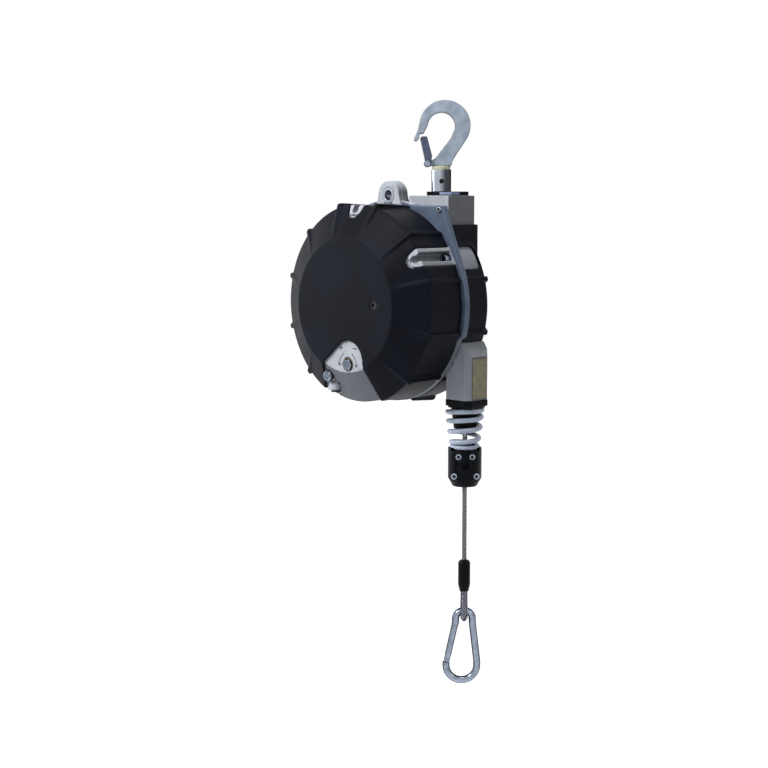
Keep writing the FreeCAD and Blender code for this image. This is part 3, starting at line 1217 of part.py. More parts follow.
def snap_hook():
    """Pear-shaped snap hook of round wire; its gate closes the left side and opens inwards."""
    wire = number("snap_wire")
    half = number("thimble_width") / 2
    rest = number("snap_eye") - wire
    top = -number("eye_bottom") + number("2 * rope_radius + thimble_sheet + seat_gap") + 2 * wire
    top += rest - math.sqrt(rest ** 2 - half ** 2)
    eye, bow, lean = number("snap_eye"), number("snap_bow"), number("snap_lean")
    upper = top - wire - eye
    lower = top - number("snap_length") + wire + bow
    above = Vector(-eye, 0, upper - number("gate_nose") / 2)
    below = Vector(lean - bow, 0, lower + number("gate_foot"))
    along = (above - below).normalize()
    nose = above - along * (number("gate_nose") / 2)
    foot = below + along * number("gate_foot")
    shape = rod([nose, above, Vector(-eye, 0, top - wire), Vector(eye, 0, top - wire),
                 Vector(eye, 0, upper - number("gate_nose") / 2), Vector(lean + bow, 0, lower + 4),
                 Vector(lean + bow, 0, lower - bow), Vector(lean - bow, 0, lower - bow), below, foot],
                [4, eye - 0.01, eye - 0.3, 4, 10, bow - 0.01, bow - 0.01, 4], wire)
    pivot = foot + along * number("snap_wire + gate_gap")
    angle = math.degrees(math.atan2(along.x, along.z))
    reach = (pivot - foot).Length + 1
    tang = block_along(foot - along, angle, number("tang_half"), number("tang_wide"), reach)
    tang = tang.fuse(rod_between(pivot - BACK * number("tang_half"), pivot + BACK * number("tang_half"),
                                 number("tang_wide")))
    hole = rod_between(pivot - BACK * 10, pivot + BACK * 10, number("gate_pin"))
    solid("snap_hook", "load", shape.fuse(tang).cut(hole))
    radius = wire - 0.3
    gate = rod_between(pivot, nose - along * number("gate_gap"), radius)
    end = rod_between(pivot - along * radius, pivot, radius)
    gate = gate.fuse(end.common(rod_between(pivot - BACK * 10, pivot + BACK * 10, radius)))
    slot = block_along(pivot - along * 10, angle, number("tang_half + gate_gap"), 10, 10 + radius + 1)
    hole = rod_between(pivot - BACK * 10, pivot + BACK * 10, number("gate_pin + run_gap"))
    solid("snap_gate", "load", gate.cut(slot).cut(hole))
    solid("gate_pin", "load", rod_between(pivot - BACK * radius, pivot + BACK * radius, number("gate_pin")))


hook_group()
front_housing()
rear_housing()
front_cover()
rear_cover()
housing_fittings()
neck_fittings()
adjuster()
drum_group()
safety_pawl()
drum_lock()
buffer_spring()
stop_group()
rope_piece("rope_run", "seat_gap", "stop_top - boss_height")
rope_piece("rope_in_stop", "stop_top - boss_height", "stop_top + stop_height")
rope_piece("wire_rope", "stop_top + stop_height", "sleeve_top + 4")
rope_end()
snap_hook()

document.recompute()
for item in document.Objects:
    if "Invalid" in item.State or "Error" in item.State:
        raise ValueError(f"{item.Label} did not recompute: {item.State}")
os.makedirs("parts", exist_ok=True)
for node in NODES:
    shape = node.Shape
    if shape.isNull() or not shape.isValid() or not shape.Solids:
        raise ValueError(f"{node.Label} is not a valid solid")
    shape.exportStep(f"parts/{node.Label}.step")
    print(f"{node.Label}: {len(shape.Solids)} solids, {shape.Volume / 1000:.2f} cm3")
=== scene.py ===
"""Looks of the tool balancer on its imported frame: rounded castings, rope, spring, finishes, studio. Metres."""

import json
import math

import bmesh
import bpy
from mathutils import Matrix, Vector

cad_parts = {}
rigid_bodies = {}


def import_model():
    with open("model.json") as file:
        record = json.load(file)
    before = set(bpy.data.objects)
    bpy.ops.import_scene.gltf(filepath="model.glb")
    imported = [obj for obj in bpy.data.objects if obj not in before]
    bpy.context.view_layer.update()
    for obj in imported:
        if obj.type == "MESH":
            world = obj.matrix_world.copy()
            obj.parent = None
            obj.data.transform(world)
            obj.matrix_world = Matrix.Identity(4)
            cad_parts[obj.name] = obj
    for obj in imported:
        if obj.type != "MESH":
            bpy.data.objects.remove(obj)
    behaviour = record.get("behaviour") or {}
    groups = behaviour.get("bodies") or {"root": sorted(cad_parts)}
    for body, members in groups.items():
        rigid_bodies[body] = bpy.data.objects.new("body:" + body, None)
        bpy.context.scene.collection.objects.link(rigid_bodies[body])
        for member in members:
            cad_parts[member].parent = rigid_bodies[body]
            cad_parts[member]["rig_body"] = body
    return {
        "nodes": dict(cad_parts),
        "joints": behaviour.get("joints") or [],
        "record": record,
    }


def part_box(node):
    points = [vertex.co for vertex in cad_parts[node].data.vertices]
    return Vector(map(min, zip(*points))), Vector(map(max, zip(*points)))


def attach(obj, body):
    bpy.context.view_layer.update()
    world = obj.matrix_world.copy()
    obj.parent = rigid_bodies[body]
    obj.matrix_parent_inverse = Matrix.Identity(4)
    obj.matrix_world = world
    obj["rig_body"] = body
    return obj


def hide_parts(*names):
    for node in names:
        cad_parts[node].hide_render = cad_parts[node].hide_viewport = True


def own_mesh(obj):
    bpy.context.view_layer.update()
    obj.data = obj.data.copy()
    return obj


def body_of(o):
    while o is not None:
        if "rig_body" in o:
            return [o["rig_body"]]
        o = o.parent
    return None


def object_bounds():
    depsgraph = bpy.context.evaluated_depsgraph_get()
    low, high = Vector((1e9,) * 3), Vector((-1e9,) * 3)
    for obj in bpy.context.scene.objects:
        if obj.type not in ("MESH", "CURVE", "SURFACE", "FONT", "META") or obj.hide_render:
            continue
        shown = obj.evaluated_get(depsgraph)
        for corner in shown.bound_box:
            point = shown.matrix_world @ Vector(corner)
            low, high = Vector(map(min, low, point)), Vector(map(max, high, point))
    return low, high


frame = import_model()
CAD_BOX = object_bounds()

MM = 0.001
TURN = 2 * math.pi
NODES = frame["nodes"]
JOINTS = {joint["name"]: joint for joint in frame["joints"]}
SLOTS = {part["node"]: part["material_slot"] for part in frame["record"]["subparts"]}
DRUM = Vector(JOINTS["drum_spin"]["pos_m"])
FRONT = Vector((0, -1, 0))
FACING = Vector((1, -1, 0)).normalized()
UP = Vector((0, 0, 1))
WELD = 3e-6  # CAD vertices nearer than this are one
TOUCH = 1e-5  # play when points are tested for lying in one plane
SIDES = 36  # of a turned solid
ROPE_LAY = 27 * MM  # one turn of a strand round the rope
HALF_FLANGE = 3.7 * MM  # both joint flanges lie within this of the joint plane


# ---------------------------------------------------------------- studio

def mixed_by_rays(tree, shown, lit, output):
    """Shader seen by camera, glossy and transmission rays, and another one for the light that it gives."""
    path = tree.nodes.new("ShaderNodeLightPath")
    seen = path.outputs["Is Camera Ray"]
    for ray in ("Is Glossy Ray", "Is Transmission Ray"):
        either = tree.nodes.new("ShaderNodeMath")
        either.operation = "MAXIMUM"
        tree.links.new(seen, either.inputs[0])
        tree.links.new(path.outputs[ray], either.inputs[1])
        seen = either.outputs[0]
    mix = tree.nodes.new("ShaderNodeMixShader")
    tree.links.new(seen, mix.inputs[0])
    tree.links.new(lit, mix.inputs[1])
    tree.links.new(shown, mix.inputs[2])
    tree.links.new(mix.outputs[0], output)


LENS = 77.34
TARGET = Vector((-0.0617, -0.022, -0.2840))
AZIMUTH, ELEVATION, DISTANCE = math.radians(45), math.radians(6.5), 1.757
FLOOR_DROP = 1.0


def studio():
    """Camera, white backdrop, pale floor that keeps the shadow, and soft lamps."""
    scene = bpy.context.scene
    scene.view_settings.view_transform = "Standard"
    camera = bpy.data.objects.new("camera", bpy.data.cameras.new("camera"))
    bpy.context.collection.objects.link(camera)
    camera.data.sensor_width = 36
    camera.data.lens = LENS
    camera.data.clip_end = 60
    back = Vector((math.sin(AZIMUTH) * math.cos(ELEVATION), -math.cos(AZIMUTH) * math.cos(ELEVATION),
                   math.sin(ELEVATION)))
    camera.location = TARGET + back * DISTANCE
    camera.rotation_mode = "QUATERNION"
    camera.rotation_quaternion = (-back).to_track_quat("-Z", "Y")
    scene.camera = camera

    world = bpy.data.worlds.new("studio")
    scene.world = world
    world.use_nodes = True
    tree = world.node_tree
    light = tree.nodes["Background"]
    light.inputs["Color"].default_value = (0.93, 0.96, 1.0, 1)
    light.inputs["Strength"].default_value = 0.30
    white = tree.nodes.new("ShaderNodeBackground")
    white.inputs["Color"].default_value = (1, 1, 1, 1)
    mixed_by_rays(tree, white.outputs[0], light.outputs[0], tree.nodes["World Output"].inputs["Surface"])

    def lamp(name, place, size, power, colour=(1, 1, 1)):
        data = bpy.data.lights.new(name, "AREA")
        data.shape = "DISK"
        data.size = size
        data.energy = power
        data.color = colour
        item = bpy.data.objects.new(name, data)
        bpy.context.collection.objects.link(item)
        item.location = TARGET + Vector(place)
        item.rotation_mode = "QUATERNION"
        item.rotation_quaternion = (-Vector(place)).to_track_quat("-Z", "Y")

    lamp("key", (-0.7, -2.0, 1.5), 0.9, 44, (1.0, 0.99, 0.97))
    lamp("top", (0.2, -0.3, 2.3), 1.2, 26)
    lamp("left", (-2.2, -1.0, 0.3), 1.4, 20, (0.88, 0.94, 1.0))
    lamp("right", (2.3, 0.2, 0.9), 0.8, 5, (1.0, 0.97, 0.93))

    plane = bpy.data.meshes.new("floor")
    plane.from_pydata([(-9, -9, 0), (9, -9, 0), (9, 9, 0), (-9, 9, 0)], [], [(0, 1, 2, 3)])
    floor = bpy.data.objects.new("floor", plane)
    bpy.context.collection.objects.link(floor)
    floor.location.z = CAD_BOX[0][2] - FLOOR_DROP
    paint = bpy.data.materials.new("floor_white")
    paint.use_nodes = True
    tree = paint.node_tree
    lit = tree.nodes["Principled BSDF"]
    lit.inputs["Base Color"].default_value = (0.80, 0.80, 0.80, 1)
    lit.inputs["Roughness"].default_value = 0.9
    glow = tree.nodes.new("ShaderNodeEmission")
    glow.inputs["Strength"].default_value = 0.82
    shown = tree.nodes.new("ShaderNodeAddShader")
    tree.links.new(glow.outputs[0], shown.inputs[0])
    tree.links.new(lit.outputs[0], shown.inputs[1])
    mixed_by_rays(tree, shown.outputs[0], lit.outputs[0], tree.nodes["Material Output"].inputs["Surface"])
    floor.data.materials.append(paint)


# ---------------------------------------------------------------- materials

def finish(name, colour, roughness, metallic=0.0, spread=0.12, mottle=60, grain=900, bump=0.06, depth=0.0002,
           rough_spread=0.1, specular=0.5, coat=0.0, soft=0.0005, specks=0.0, shade_axis=None, level=(0.25, 0.75),
           shade_dim=0.4, both=False):
    """Node material: mottled colour, uneven gloss, fine grain, edges rounded by `soft` metres.

    Painted shade: faces of the object that look in the given direction are darkened; with `both`, those that
    look along it either way stay clear and the flanks between them are darkened.
    """
    paint = bpy.data.materials.new(name)
    paint.use_nodes = True
    nodes, links = paint.node_tree.nodes, paint.node_tree.links
    shader = nodes["Principled BSDF"]
    shader.inputs["Metallic"].default_value = metallic
    shader.inputs["Specular IOR Level"].default_value = specular
    shader.inputs["Coat Weight"].default_value = coat
    if metallic > 0.9:
        shader.inputs["Specular Tint"].default_value = [channel * 0.3 for channel in colour] + [1]
    shader.inputs["Coat Roughness"].default_value = 0.2
    place = nodes.new("ShaderNodeTexCoord")
    patches = nodes.new("ShaderNodeTexNoise")
    patches.inputs["Scale"].default_value = mottle
    patches.inputs["Detail"].default_value = 6
    links.new(place.outputs["Object"], patches.inputs["Vector"])
    shades = nodes.new("ShaderNodeValToRGB")
    for element, position, factor in zip(shades.color_ramp.elements, (0.3, 0.7), (1 - spread, 1 + spread)):
        element.position = position
        element.color = [min(channel * factor, 1) for channel in colour] + [1]
    links.new(patches.outputs["Fac"], shades.inputs["Fac"])
    fine = nodes.new("ShaderNodeTexNoise")
    fine.inputs["Scale"].default_value = grain
    fine.inputs["Detail"].default_value = 3
    links.new(place.outputs["Object"], fine.inputs["Vector"])
    tint = shades.outputs["Color"]
    if specks:
        dots = nodes.new("ShaderNodeMapRange")
        dots.inputs["From Min"].default_value = 0.62
        dots.inputs["From Max"].default_value = 0.72
        dots.inputs["To Max"].default_value = specks
        links.new(fine.outputs["Fac"], dots.inputs["Value"])
        darker = nodes.new("ShaderNodeMix")
        darker.data_type = "RGBA"
        darker.inputs["B"].default_value = [channel * 0.35 for channel in colour] + [1]
        links.new(dots.outputs[0], darker.inputs["Factor"])
        links.new(tint, darker.inputs["A"])
        tint = darker.outputs["Result"]
    # painted shade: darken faces by the direction they look in
    if shade_axis:
        toward = nodes.new("ShaderNodeVectorMath")
        toward.operation = "DOT_PRODUCT"
        toward.inputs[1].default_value = Vector(shade_axis).normalized()
        links.new(place.outputs["Normal"], toward.inputs[0])
        along = toward.outputs["Value"]
        if both:
            size = nodes.new("ShaderNodeMath")
            size.operation = "ABSOLUTE"
            links.new(along, size.inputs[0])
            along = size.outputs[0]
        share = nodes.new("ShaderNodeMapRange")
        share.inputs["From Min"].default_value = level[0]
        share.inputs["From Max"].default_value = level[1]
        share.inputs["To Min"].default_value = shade_dim if both else 1
        share.inputs["To Max"].default_value = 1 if both else shade_dim
        links.new(along, share.inputs["Value"])
        painted_shade = nodes.new("ShaderNodeVectorMath")
        painted_shade.operation = "SCALE"
        links.new(tint, painted_shade.inputs[0])
        links.new(share.outputs[0], painted_shade.inputs["Scale"])
        tint = painted_shade.outputs[0]
    links.new(tint, shader.inputs["Base Color"])
    gloss = nodes.new("ShaderNodeMapRange")
    gloss.inputs["To Min"].default_value = max(roughness - rough_spread, 0.03)
    gloss.inputs["To Max"].default_value = min(roughness + rough_spread, 1)
    links.new(patches.outputs["Fac"], gloss.inputs["Value"])
    links.new(gloss.outputs[0], shader.inputs["Roughness"])
    relief = nodes.new("ShaderNodeBump")
    relief.inputs["Strength"].default_value = bump
    relief.inputs["Distance"].default_value = depth
    links.new(fine.outputs["Fac"], relief.inputs["Height"])
    if soft:
        rounded = nodes.new("ShaderNodeBevel")
        rounded.samples = 4
        rounded.inputs["Radius"].default_value = soft
        links.new(rounded.outputs[0], relief.inputs["Normal"])
    links.new(relief.outputs[0], shader.inputs["Normal"])
    return paint


# Castings get painted shade on faces looking right and down.
PAINTED_SHADE_SIDE = (0.85, 0.25, -0.45)
MATERIALS = {
    # Zinc and forged steel: flanks at right angles to FACING get painted shade.
    "zinc_steel": finish("zinc_steel", (0.25, 0.29, 0.36), 0.20, 1.0, 0.25, 160, 1500, 0.10, rough_spread=0.08,
                         shade_axis=FACING, level=(0.45, 0.9), shade_dim=0.14, both=True),
    "forged_steel": finish("forged_steel", (0.42, 0.49, 0.60), 0.35, 0.0, 0.30, 60, 620, 0.3, 0.0003,
                           specular=0.25, shade_axis=FACING, level=(0.4, 0.99), shade_dim=0.12, both=True),
    "cast_alu": finish("cast_alu", (0.47, 0.49, 0.54), 0.5, 0.0, 0.10, 70, 900, 0.5, 0.0004, specular=0.25,
                       specks=0.35, shade_axis=PAINTED_SHADE_SIDE, shade_dim=0.30),
    "cover_black": finish("cover_black", (0.0032, 0.0042, 0.0085), 0.45, 0.0, 0.5, 26, 1500, 0.10, 0.0002,
                          specular=0.06, soft=0.0010),
    "block_grey": finish("block_grey", (0.42, 0.44, 0.49), 0.5, 0.0, 0.10, 70, 900, 0.5, 0.0004, specular=0.25,
                         specks=0.35, shade_axis=PAINTED_SHADE_SIDE, shade_dim=0.30),
    "black_plate": finish("black_plate", (0.003, 0.003, 0.004), 0.5, specular=0.05),
    "yellow_ring": finish("yellow_ring", (0.62, 0.62, 0.42), 0.5, mottle=400, spread=0.3),
    "steel": finish("steel", (0.25, 0.27, 0.31), 0.3, 1.0, 0.12, 120, 1200, 0.05),
    "spring_steel": finish("spring_steel", (0.42, 0.48, 0.60), 0.4, 0.0, 0.10, 120, 1200, 0.05, coat=0.35),
    "bronze": finish("bronze", (0.50, 0.34, 0.15), 0.35, 1.0),
    "black_steel": finish("black_steel", (0.085, 0.10, 0.16), 0.34, 0.6, 0.15, 200, 1000, 0.1),
    "stop_black": finish("stop_black", (0.003, 0.004, 0.006), 0.3, 0.0, 0.3, 60, 1300, 0.08, specular=0.06),
    "guide_black": finish("guide_black", (0.004, 0.004, 0.005), 0.45, specular=0.06),
    # Wire: the flanks of each strand get painted shade between the strands.
    "wire": finish("wire", (0.27, 0.28, 0.31), 0.3, 1.0, 0.25, 500, 1500, 0.1, soft=0,
                   shade_axis=FACING, level=(0.5, 0.95), shade_dim=0.05, both=True),
    "sleeve_black": finish("sleeve_black", (0.0015, 0.0015, 0.002), 0.25, specular=0.08),
    "label_white": finish("label_white", (0.27, 0.24, 0.16), 0.5, mottle=260, spread=0.2, specular=0.2),
}
# Chrome shank: faces looking right get painted shade.
CHROME = finish("chrome", (0.40, 0.44, 0.50), 0.12, 1.0, 0.1, 100, 1500, 0.04, shade_axis=(0.95, 0.3, 0), shade_dim=0.12)
# Own colour of black pins, nuts and cover screws; also painted shade in screw sockets and in the rope's core.
DARK_STEEL_AND_SHADE = finish("dark_steel_and_shade", (0.006, 0.007, 0.009), 0.32, 0.0, 0.2, 200, 1400, 0.1, specular=0.2)
# Darker bluish copy of cast aluminium for the joint flange: painted shade.
FLANGE_SHADE = finish("flange_shade_blue", (0.10, 0.13, 0.20), 0.45, 0.0, 0.15, 70, 900, 0.4, 0.0004, specular=0.3,
                specks=0.2)
SHADED = finish("cast_shade", (0.135, 0.14, 0.165), 0.5, 0.0, 0.10, 70, 900, 0.5, 0.0004, specular=0.2,
                specks=0.3)
MARK = finish("mark_grey", (0.07, 0.075, 0.09), 0.6, 0.0, 0.2, 300, 1400, 0.1, specular=0.2)
STRIP = finish("strip_zinc", (0.15, 0.20, 0.34), 0.4, 0.0, 0.1, 100, 1400, 0.1)


# ---------------------------------------------------------------- building pieces

def piece(name, mesh, paint, body, slot, *nodes):
    """Link a finished mesh as a piece of the visual model."""
    item = bpy.data.objects.new(name, mesh)
    bpy.context.collection.objects.link(item)
    if mesh.materials:
        mesh.materials.clear()
    mesh.materials.append(paint)
    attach(item, body)
    if nodes:
        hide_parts(*nodes)
    return item


def smooth(mesh, angle=32):
    """Smooth shading, but for edges sharper than the angle."""
    mesh.polygons.foreach_set("use_smooth", [True] * len(mesh.polygons))
    mesh.set_sharp_from_angle(angle=math.radians(angle))


def meshed(name, form, angle=32):
    """Smooth mesh of a finished form."""
    mesh = bpy.data.meshes.new(name)
    form.to_mesh(mesh)
    form.free()
    smooth(mesh, angle)
    return mesh


def rounded_node(name, node, width, segments=3, edit=None):
    """New piece in the form of a CAD node, with its flat faces whole and its edges rounded."""
    form = bmesh.new()
    form.from_mesh(NODES[node].data)
    bmesh.ops.remove_doubles(form, verts=form.verts, dist=WELD)
    bmesh.ops.dissolve_limit(form, angle_limit=math.radians(0.4), verts=form.verts, edges=form.edges)
    if edit:
        edit(form)
    mesh = bpy.data.meshes.new(name)
    form.to_mesh(mesh)
    form.free()
    item = piece(name, mesh, MATERIALS[SLOTS[node]], body_of(NODES[node])[0], SLOTS[node], node)
    form = bmesh.new()
    form.from_mesh(mesh)
    layer = form.edges.layers.float.new("bevel_weight_edge")
    for edge in form.edges:
        if len(edge.link_faces) == 2 and edge.calc_face_angle(0) > math.radians(32):
            edge[layer] = 1
    form.to_mesh(mesh)
    form.free()
    bevel = item.modifiers.new("bevel", "BEVEL")
    bevel.width = width
    bevel.segments = segments
    bevel.limit_method = "WEIGHT"
    bevel.use_clamp_overlap = False
    bevel.harden_normals = False
    weighted = item.modifiers.new("weighted", "WEIGHTED_NORMAL")
    weighted.keep_sharp = True
    smooth(mesh, 40)
    graph = bpy.context.evaluated_depsgraph_get()
    final = bpy.data.meshes.new_from_object(item.evaluated_get(graph))
    item.modifiers.clear()
    item.data = final
    return item


def repaint(item, paint, fits):
    """Give the faces that fit another material, here painted shade; fits takes a face's middle and normal, seen
    from the drum axis.
    """
    item.data.materials.append(paint)
    index = len(item.data.materials) - 1
    for face in item.data.polygons:
        if fits(face.center - DRUM, face.normal):
            face.material_index = index


def moulded(name, node, voxel, rounds, share):
    """New piece in the form of a CAD node, with the soft edges of a moulding or a forging."""
    mesh = NODES[node].data.copy()
    mesh.name = name
    item = piece(name, mesh, MATERIALS[SLOTS[node]], body_of(NODES[node])[0], SLOTS[node], node)
    weld = item.modifiers.new("weld", "WELD")
    weld.merge_threshold = WELD
    soft = item.modifiers.new("soft", "REMESH")
    soft.mode = "VOXEL"
    soft.voxel_size = voxel
    rub = item.modifiers.new("rub", "SMOOTH")
    rub.factor = 0.5
    rub.iterations = rounds
    fewer = item.modifiers.new("fewer", "DECIMATE")
    fewer.ratio = share
    graph = bpy.context.evaluated_depsgraph_get()
    final = bpy.data.meshes.new_from_object(item.evaluated_get(graph))
    item.modifiers.clear()
    item.data = final
    final.polygons.foreach_set("use_smooth", [True] * len(final.polygons))
    return item


def islands(node):
    """Vertices of each separate solid of a CAD node, always in the same order."""
    form = bmesh.new()
    form.from_mesh(NODES[node].data)
    bmesh.ops.remove_doubles(form, verts=form.verts, dist=1e-6)
    left = set(form.verts)
    found = []
    for first in form.verts:
        if first not in left:
            continue
        left.discard(first)
        stack = [first]
        group = []
        while stack:
            vertex = stack.pop()
            group.append(vertex.co.copy())
            for edge in vertex.link_edges:
                other = edge.other_vert(vertex)
                if other in left:
                    left.discard(other)
                    stack.append(other)
        found.append(group)
    form.free()
    return found


def turned(form, origin, axis, rings, dark=0):
    """Add a closed turned solid of rings (millimetres along, radius, hexagon or not); the first are painted dark
    as shade in a recess.
    """
    side = axis.orthogonal().normalized()
    other = axis.cross(side)
    loops = []
    for along, radius, six in rings:
        loop = []
        for step in range(SIDES):
            angle = TURN * step / SIDES
            reach = radius * MM
            if six:
                reach *= math.cos(TURN / 12) / math.cos((angle % (TURN / 6)) - TURN / 12)
            offset = (side * math.cos(angle) + other * math.sin(angle)) * reach
            loop.append(form.verts.new(origin + axis * (along * MM) + offset))
        loops.append(loop)
    for place, (first, second) in enumerate(zip(loops, loops[1:])):
        for step in range(SIDES):
            after = (step + 1) % SIDES
            face = form.faces.new((first[step], first[after], second[after], second[step]))
            face.material_index = int(place < dark)
    form.faces.new(list(reversed(loops[0]))).material_index = int(dark > 0)
    form.faces.new(loops[-1])


def ends(group, axis):
    """Middle of the face where a screw starts along the axis, how far along it ends, and its millimetres."""
    start = min(point.dot(axis) for point in group)
    end = max(point.dot(axis) for point in group)
    flat = [point for point in group if point.dot(axis) < start + TOUCH]
    return sum(flat, Vector()) / len(flat), end, (end - start) / MM


def socket_screws(name, node, axis, head, height, socket, paint, depth=1.6, proud=0.0):
    """Screws with a recessed socket in place of a node's plain ones, its floor and walls painted dark as shade;
    axis points into the head. Millimetres.
    """
    form = bmesh.new()
    for group in islands(node):
        centre, end, length = ends(group, axis)
        shank = [point - axis * (point - centre).dot(axis) - centre for point in group
                 if point.dot(axis) > end - TOUCH]
        thin = max(offset.length for offset in shank) / MM
        length += proud
        rings = [(depth, 0.1, 0), (depth, socket, 1), (0.25, socket, 1), (0, socket + 0.25, 0),
                 (0, head - 0.5, 0), (0.15, head - 0.15, 0), (0.5, head, 0), (height + proud, head, 0),
                 (height + proud, thin, 0), (length, thin, 0)]
        # the first two rings, the socket, take the dark material as painted shade
        turned(form, centre - axis * proud * MM, axis, rings, 2)
    mesh = meshed(name, form)
    piece(name, mesh, paint, body_of(NODES[node])[0], SLOTS[node], node)
    mesh.materials.append(DARK_STEEL_AND_SHADE)


def route(points):
    """Points along a smooth spline of the given control points."""
    curve = bpy.data.curves.new("route", "CURVE")
    curve.dimensions = "3D"
    curve.resolution_u = 12
    spline = curve.splines.new("NURBS")
    spline.points.add(len(points) - 1)
    for target, point in zip(spline.points, points):
        target.co = (*point, 1)
    spline.order_u = 3
    spline.use_endpoint_u = True
    item = bpy.data.objects.new("route", curve)
    line = bpy.data.meshes.new_from_object(item)
    found = [vertex.co.copy() for vertex in line.vertices]
    bpy.data.objects.remove(item)
    bpy.data.curves.remove(curve)
    bpy.data.meshes.remove(line)
    return found


def even(points, gap):
    """The same line with points at even distances."""
    lengths = [0.0]
    for before, after in zip(points, points[1:]):
        lengths.append(lengths[-1] + (after - before).length)
    count = max(int(lengths[-1] / gap), 2)
    found, index = [], 0
    for step in range(count + 1):
        wanted = lengths[-1] * step / count
        while index < len(points) - 2 and lengths[index + 1] < wanted:
            index += 1
        share = (wanted - lengths[index]) / max(lengths[index + 1] - lengths[index], 1e-12)
        found.append(points[index].lerp(points[index + 1], min(share, 1)))
    return found


def sections(line):
    """Each point of a line with two directions across it, which don't twist along the way."""
    side = None
    for index, point in enumerate(line):
        ahead = (line[min(index + 1, len(line) - 1)] - line[max(index - 1, 0)]).normalized()
        side = ahead.orthogonal() if side is None else side - ahead * side.dot(ahead)
        side.normalize()
        yield point, side, ahead.cross(side)


def tube(form, line, radius, count):
    """Add a tube of round section along a line."""
    loops = []
    for point, side, other in sections(line):
        loops.append([form.verts.new(point + (side * math.cos(TURN * k / count) +
                                              other * math.sin(TURN * k / count)) * radius)
                      for k in range(count)])
    for first, second in zip(loops, loops[1:]):
        for k in range(count):
            form.faces.new((first[k], first[(k + 1) % count], second[(k + 1) % count], second[k]))
    form.faces.new(list(reversed(loops[0])))
    form.faces.new(loops[-1])


def stranded(name, line, radius, node):
    """Wire rope of six strands laid round a core painted dark as shade between the strands, along a line, in
    place of a node.
    """
    line = even(line, ROPE_LAY / 24)
    form = bmesh.new()
    # dark core: painted shade in the gaps between strands
    tube(form, line, radius * 0.62, 10)
    for face in form.faces:
        face.material_index = 1
    strand, middle = radius * 0.24, radius * 0.76
    along, before = 0.0, line[0]
    lines = [[] for _ in range(6)]
    for point, side, other in sections(line):
        along += (point - before).length
        before = point
        for k in range(6):
            angle = TURN * (k / 6 - along / ROPE_LAY)
            lines[k].append(point + (side * math.cos(angle) + other * math.sin(angle)) * middle)
    for one in lines:
        tube(form, one, strand, 8)
    mesh = meshed(name, form, 60)
    item = piece(name, mesh, MATERIALS["wire"], "load", "wire", node)
    mesh.materials.append(DARK_STEEL_AND_SHADE)
    return item, line


# ---------------------------------------------------------------- the object

def hook():
    """Forged hook, latch, chrome shank and swivel plate."""
    moulded("hook_forging", "top_hook", 0.5 * MM, 26, 0.5)
    NODES["swivel_shank"].data.materials[0] = CHROME
    NODES["hook_pin"].data.materials[0] = DARK_STEEL_AND_SHADE
    rounded_node("latch_sheet", "hook_latch", 0.5 * MM, 2)
    rounded_node("latch_rivet", "latch_pin", 0.5 * MM, 2)
    rounded_node("swivel_cap", "swivel_plate", 0.5 * MM, 2)
    rounded_node("shank_ring", "hook_ring", 0.8 * MM, 3)
    low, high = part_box("swivel_plate")
    top, bottom = high[2] - 0.6 * MM, low[2] + 0.7 * MM
    form = bmesh.new()
    skin, inside, clear, leg = 0.25 * MM, 0.4 * MM, 18.5 * MM, 10.5 * MM
    for west, east, south, north in ((low[0] + clear, high[0] + skin, low[1] - skin, low[1] + inside),
                                     (high[0] - inside, high[0] + skin, low[1] - skin, low[1] + leg)):
        made = bmesh.ops.create_cube(form, size=1)["verts"]
        for vertex in made:
            vertex.co.x = west if vertex.co.x < 0 else east
            vertex.co.y = south if vertex.co.y < 0 else north
            vertex.co.z = bottom if vertex.co.z < 0 else top
    bmesh.ops.bevel(form, geom=list(form.edges), offset=0.12 * MM, segments=2, affect="EDGES", profile=0.5)
    piece("swivel_strip", meshed("swivel_strip", form), STRIP, "housing", "zinc_steel")


def trim_flange(form):
    """Below the neck's top the covers reach out to the edge of the joint flange."""
    rim_low, rim_high, trimmed, neck_top = 107.2 * MM, 108.2 * MM, 103.2 * MM, -32 * MM
    for vertex in form.verts:
        offset = vertex.co - DRUM
        reach = math.hypot(offset.x, offset.z)
        if abs(offset.y) < HALF_FLANGE and rim_low < reach < rim_high and offset.z < neck_top:
            scale = trimmed / reach
            vertex.co.x = DRUM.x + offset.x * scale
            vertex.co.z = DRUM.z + offset.z * scale


def on_flange(middle, normal):
    """Faces of the joint flange beside the covers that get painted shade, apart from those of the lug and the
    neck.
    """
    if normal.y < -0.9 and 3.3 * MM < -middle.y < HALF_FLANGE:
        return True
    reach = math.hypot(middle.x, middle.z)
    lug = abs(middle.x) < 21 * MM and middle.z > 0
    neck = middle.z < -36 * MM and middle.x > 60 * MM
    block = middle.z > 103 * MM
    return abs(middle.y) < HALF_FLANGE and reach > 96 * MM and not lug and not neck and not block


def shell():
    """Both castings and both covers, with their screws."""
    front = rounded_node("casting_front", "front_housing", 0.7 * MM, 2, edit=trim_flange)
    rear = rounded_node("casting_rear", "rear_housing", 0.7 * MM, 2, edit=trim_flange)
    repaint(front, FLANGE_SHADE, on_flange)
    repaint(rear, FLANGE_SHADE, on_flange)
    repaint(front, SHADED, lambda middle, normal: normal.y < -0.5 and normal.z < -0.35)
    moulded("shell_front", "front_cover", 0.9 * MM, 6, 0.3)
    moulded("shell_rear", "rear_cover", 0.9 * MM, 6, 0.3)
    rounded_node("collar_ring", "neck_collar", 0.8 * MM, 3)
    rounded_node("adjuster_head", "adjuster_pinion", 0.6 * MM, 2)
    rounded_node("blank_label", "rating_plate", 0.1 * MM, 2)
    socket_screws("flange_sockets", "flange_screws", -FRONT, 4.9, 3.5, 2.2, MATERIALS["zinc_steel"], 2.4, 4.0)
    socket_screws("corner_head", "corner_screw", -FRONT, 2.9, 1.8, 1.4, MATERIALS["steel"], 1.0)
    socket_screws("foot_nut", "foot_screw", UP, 5.2, 3.0, 2.6, DARK_STEEL_AND_SHADE, 1.6)
    lock()
    cover_sockets()
    adjuster_marks()


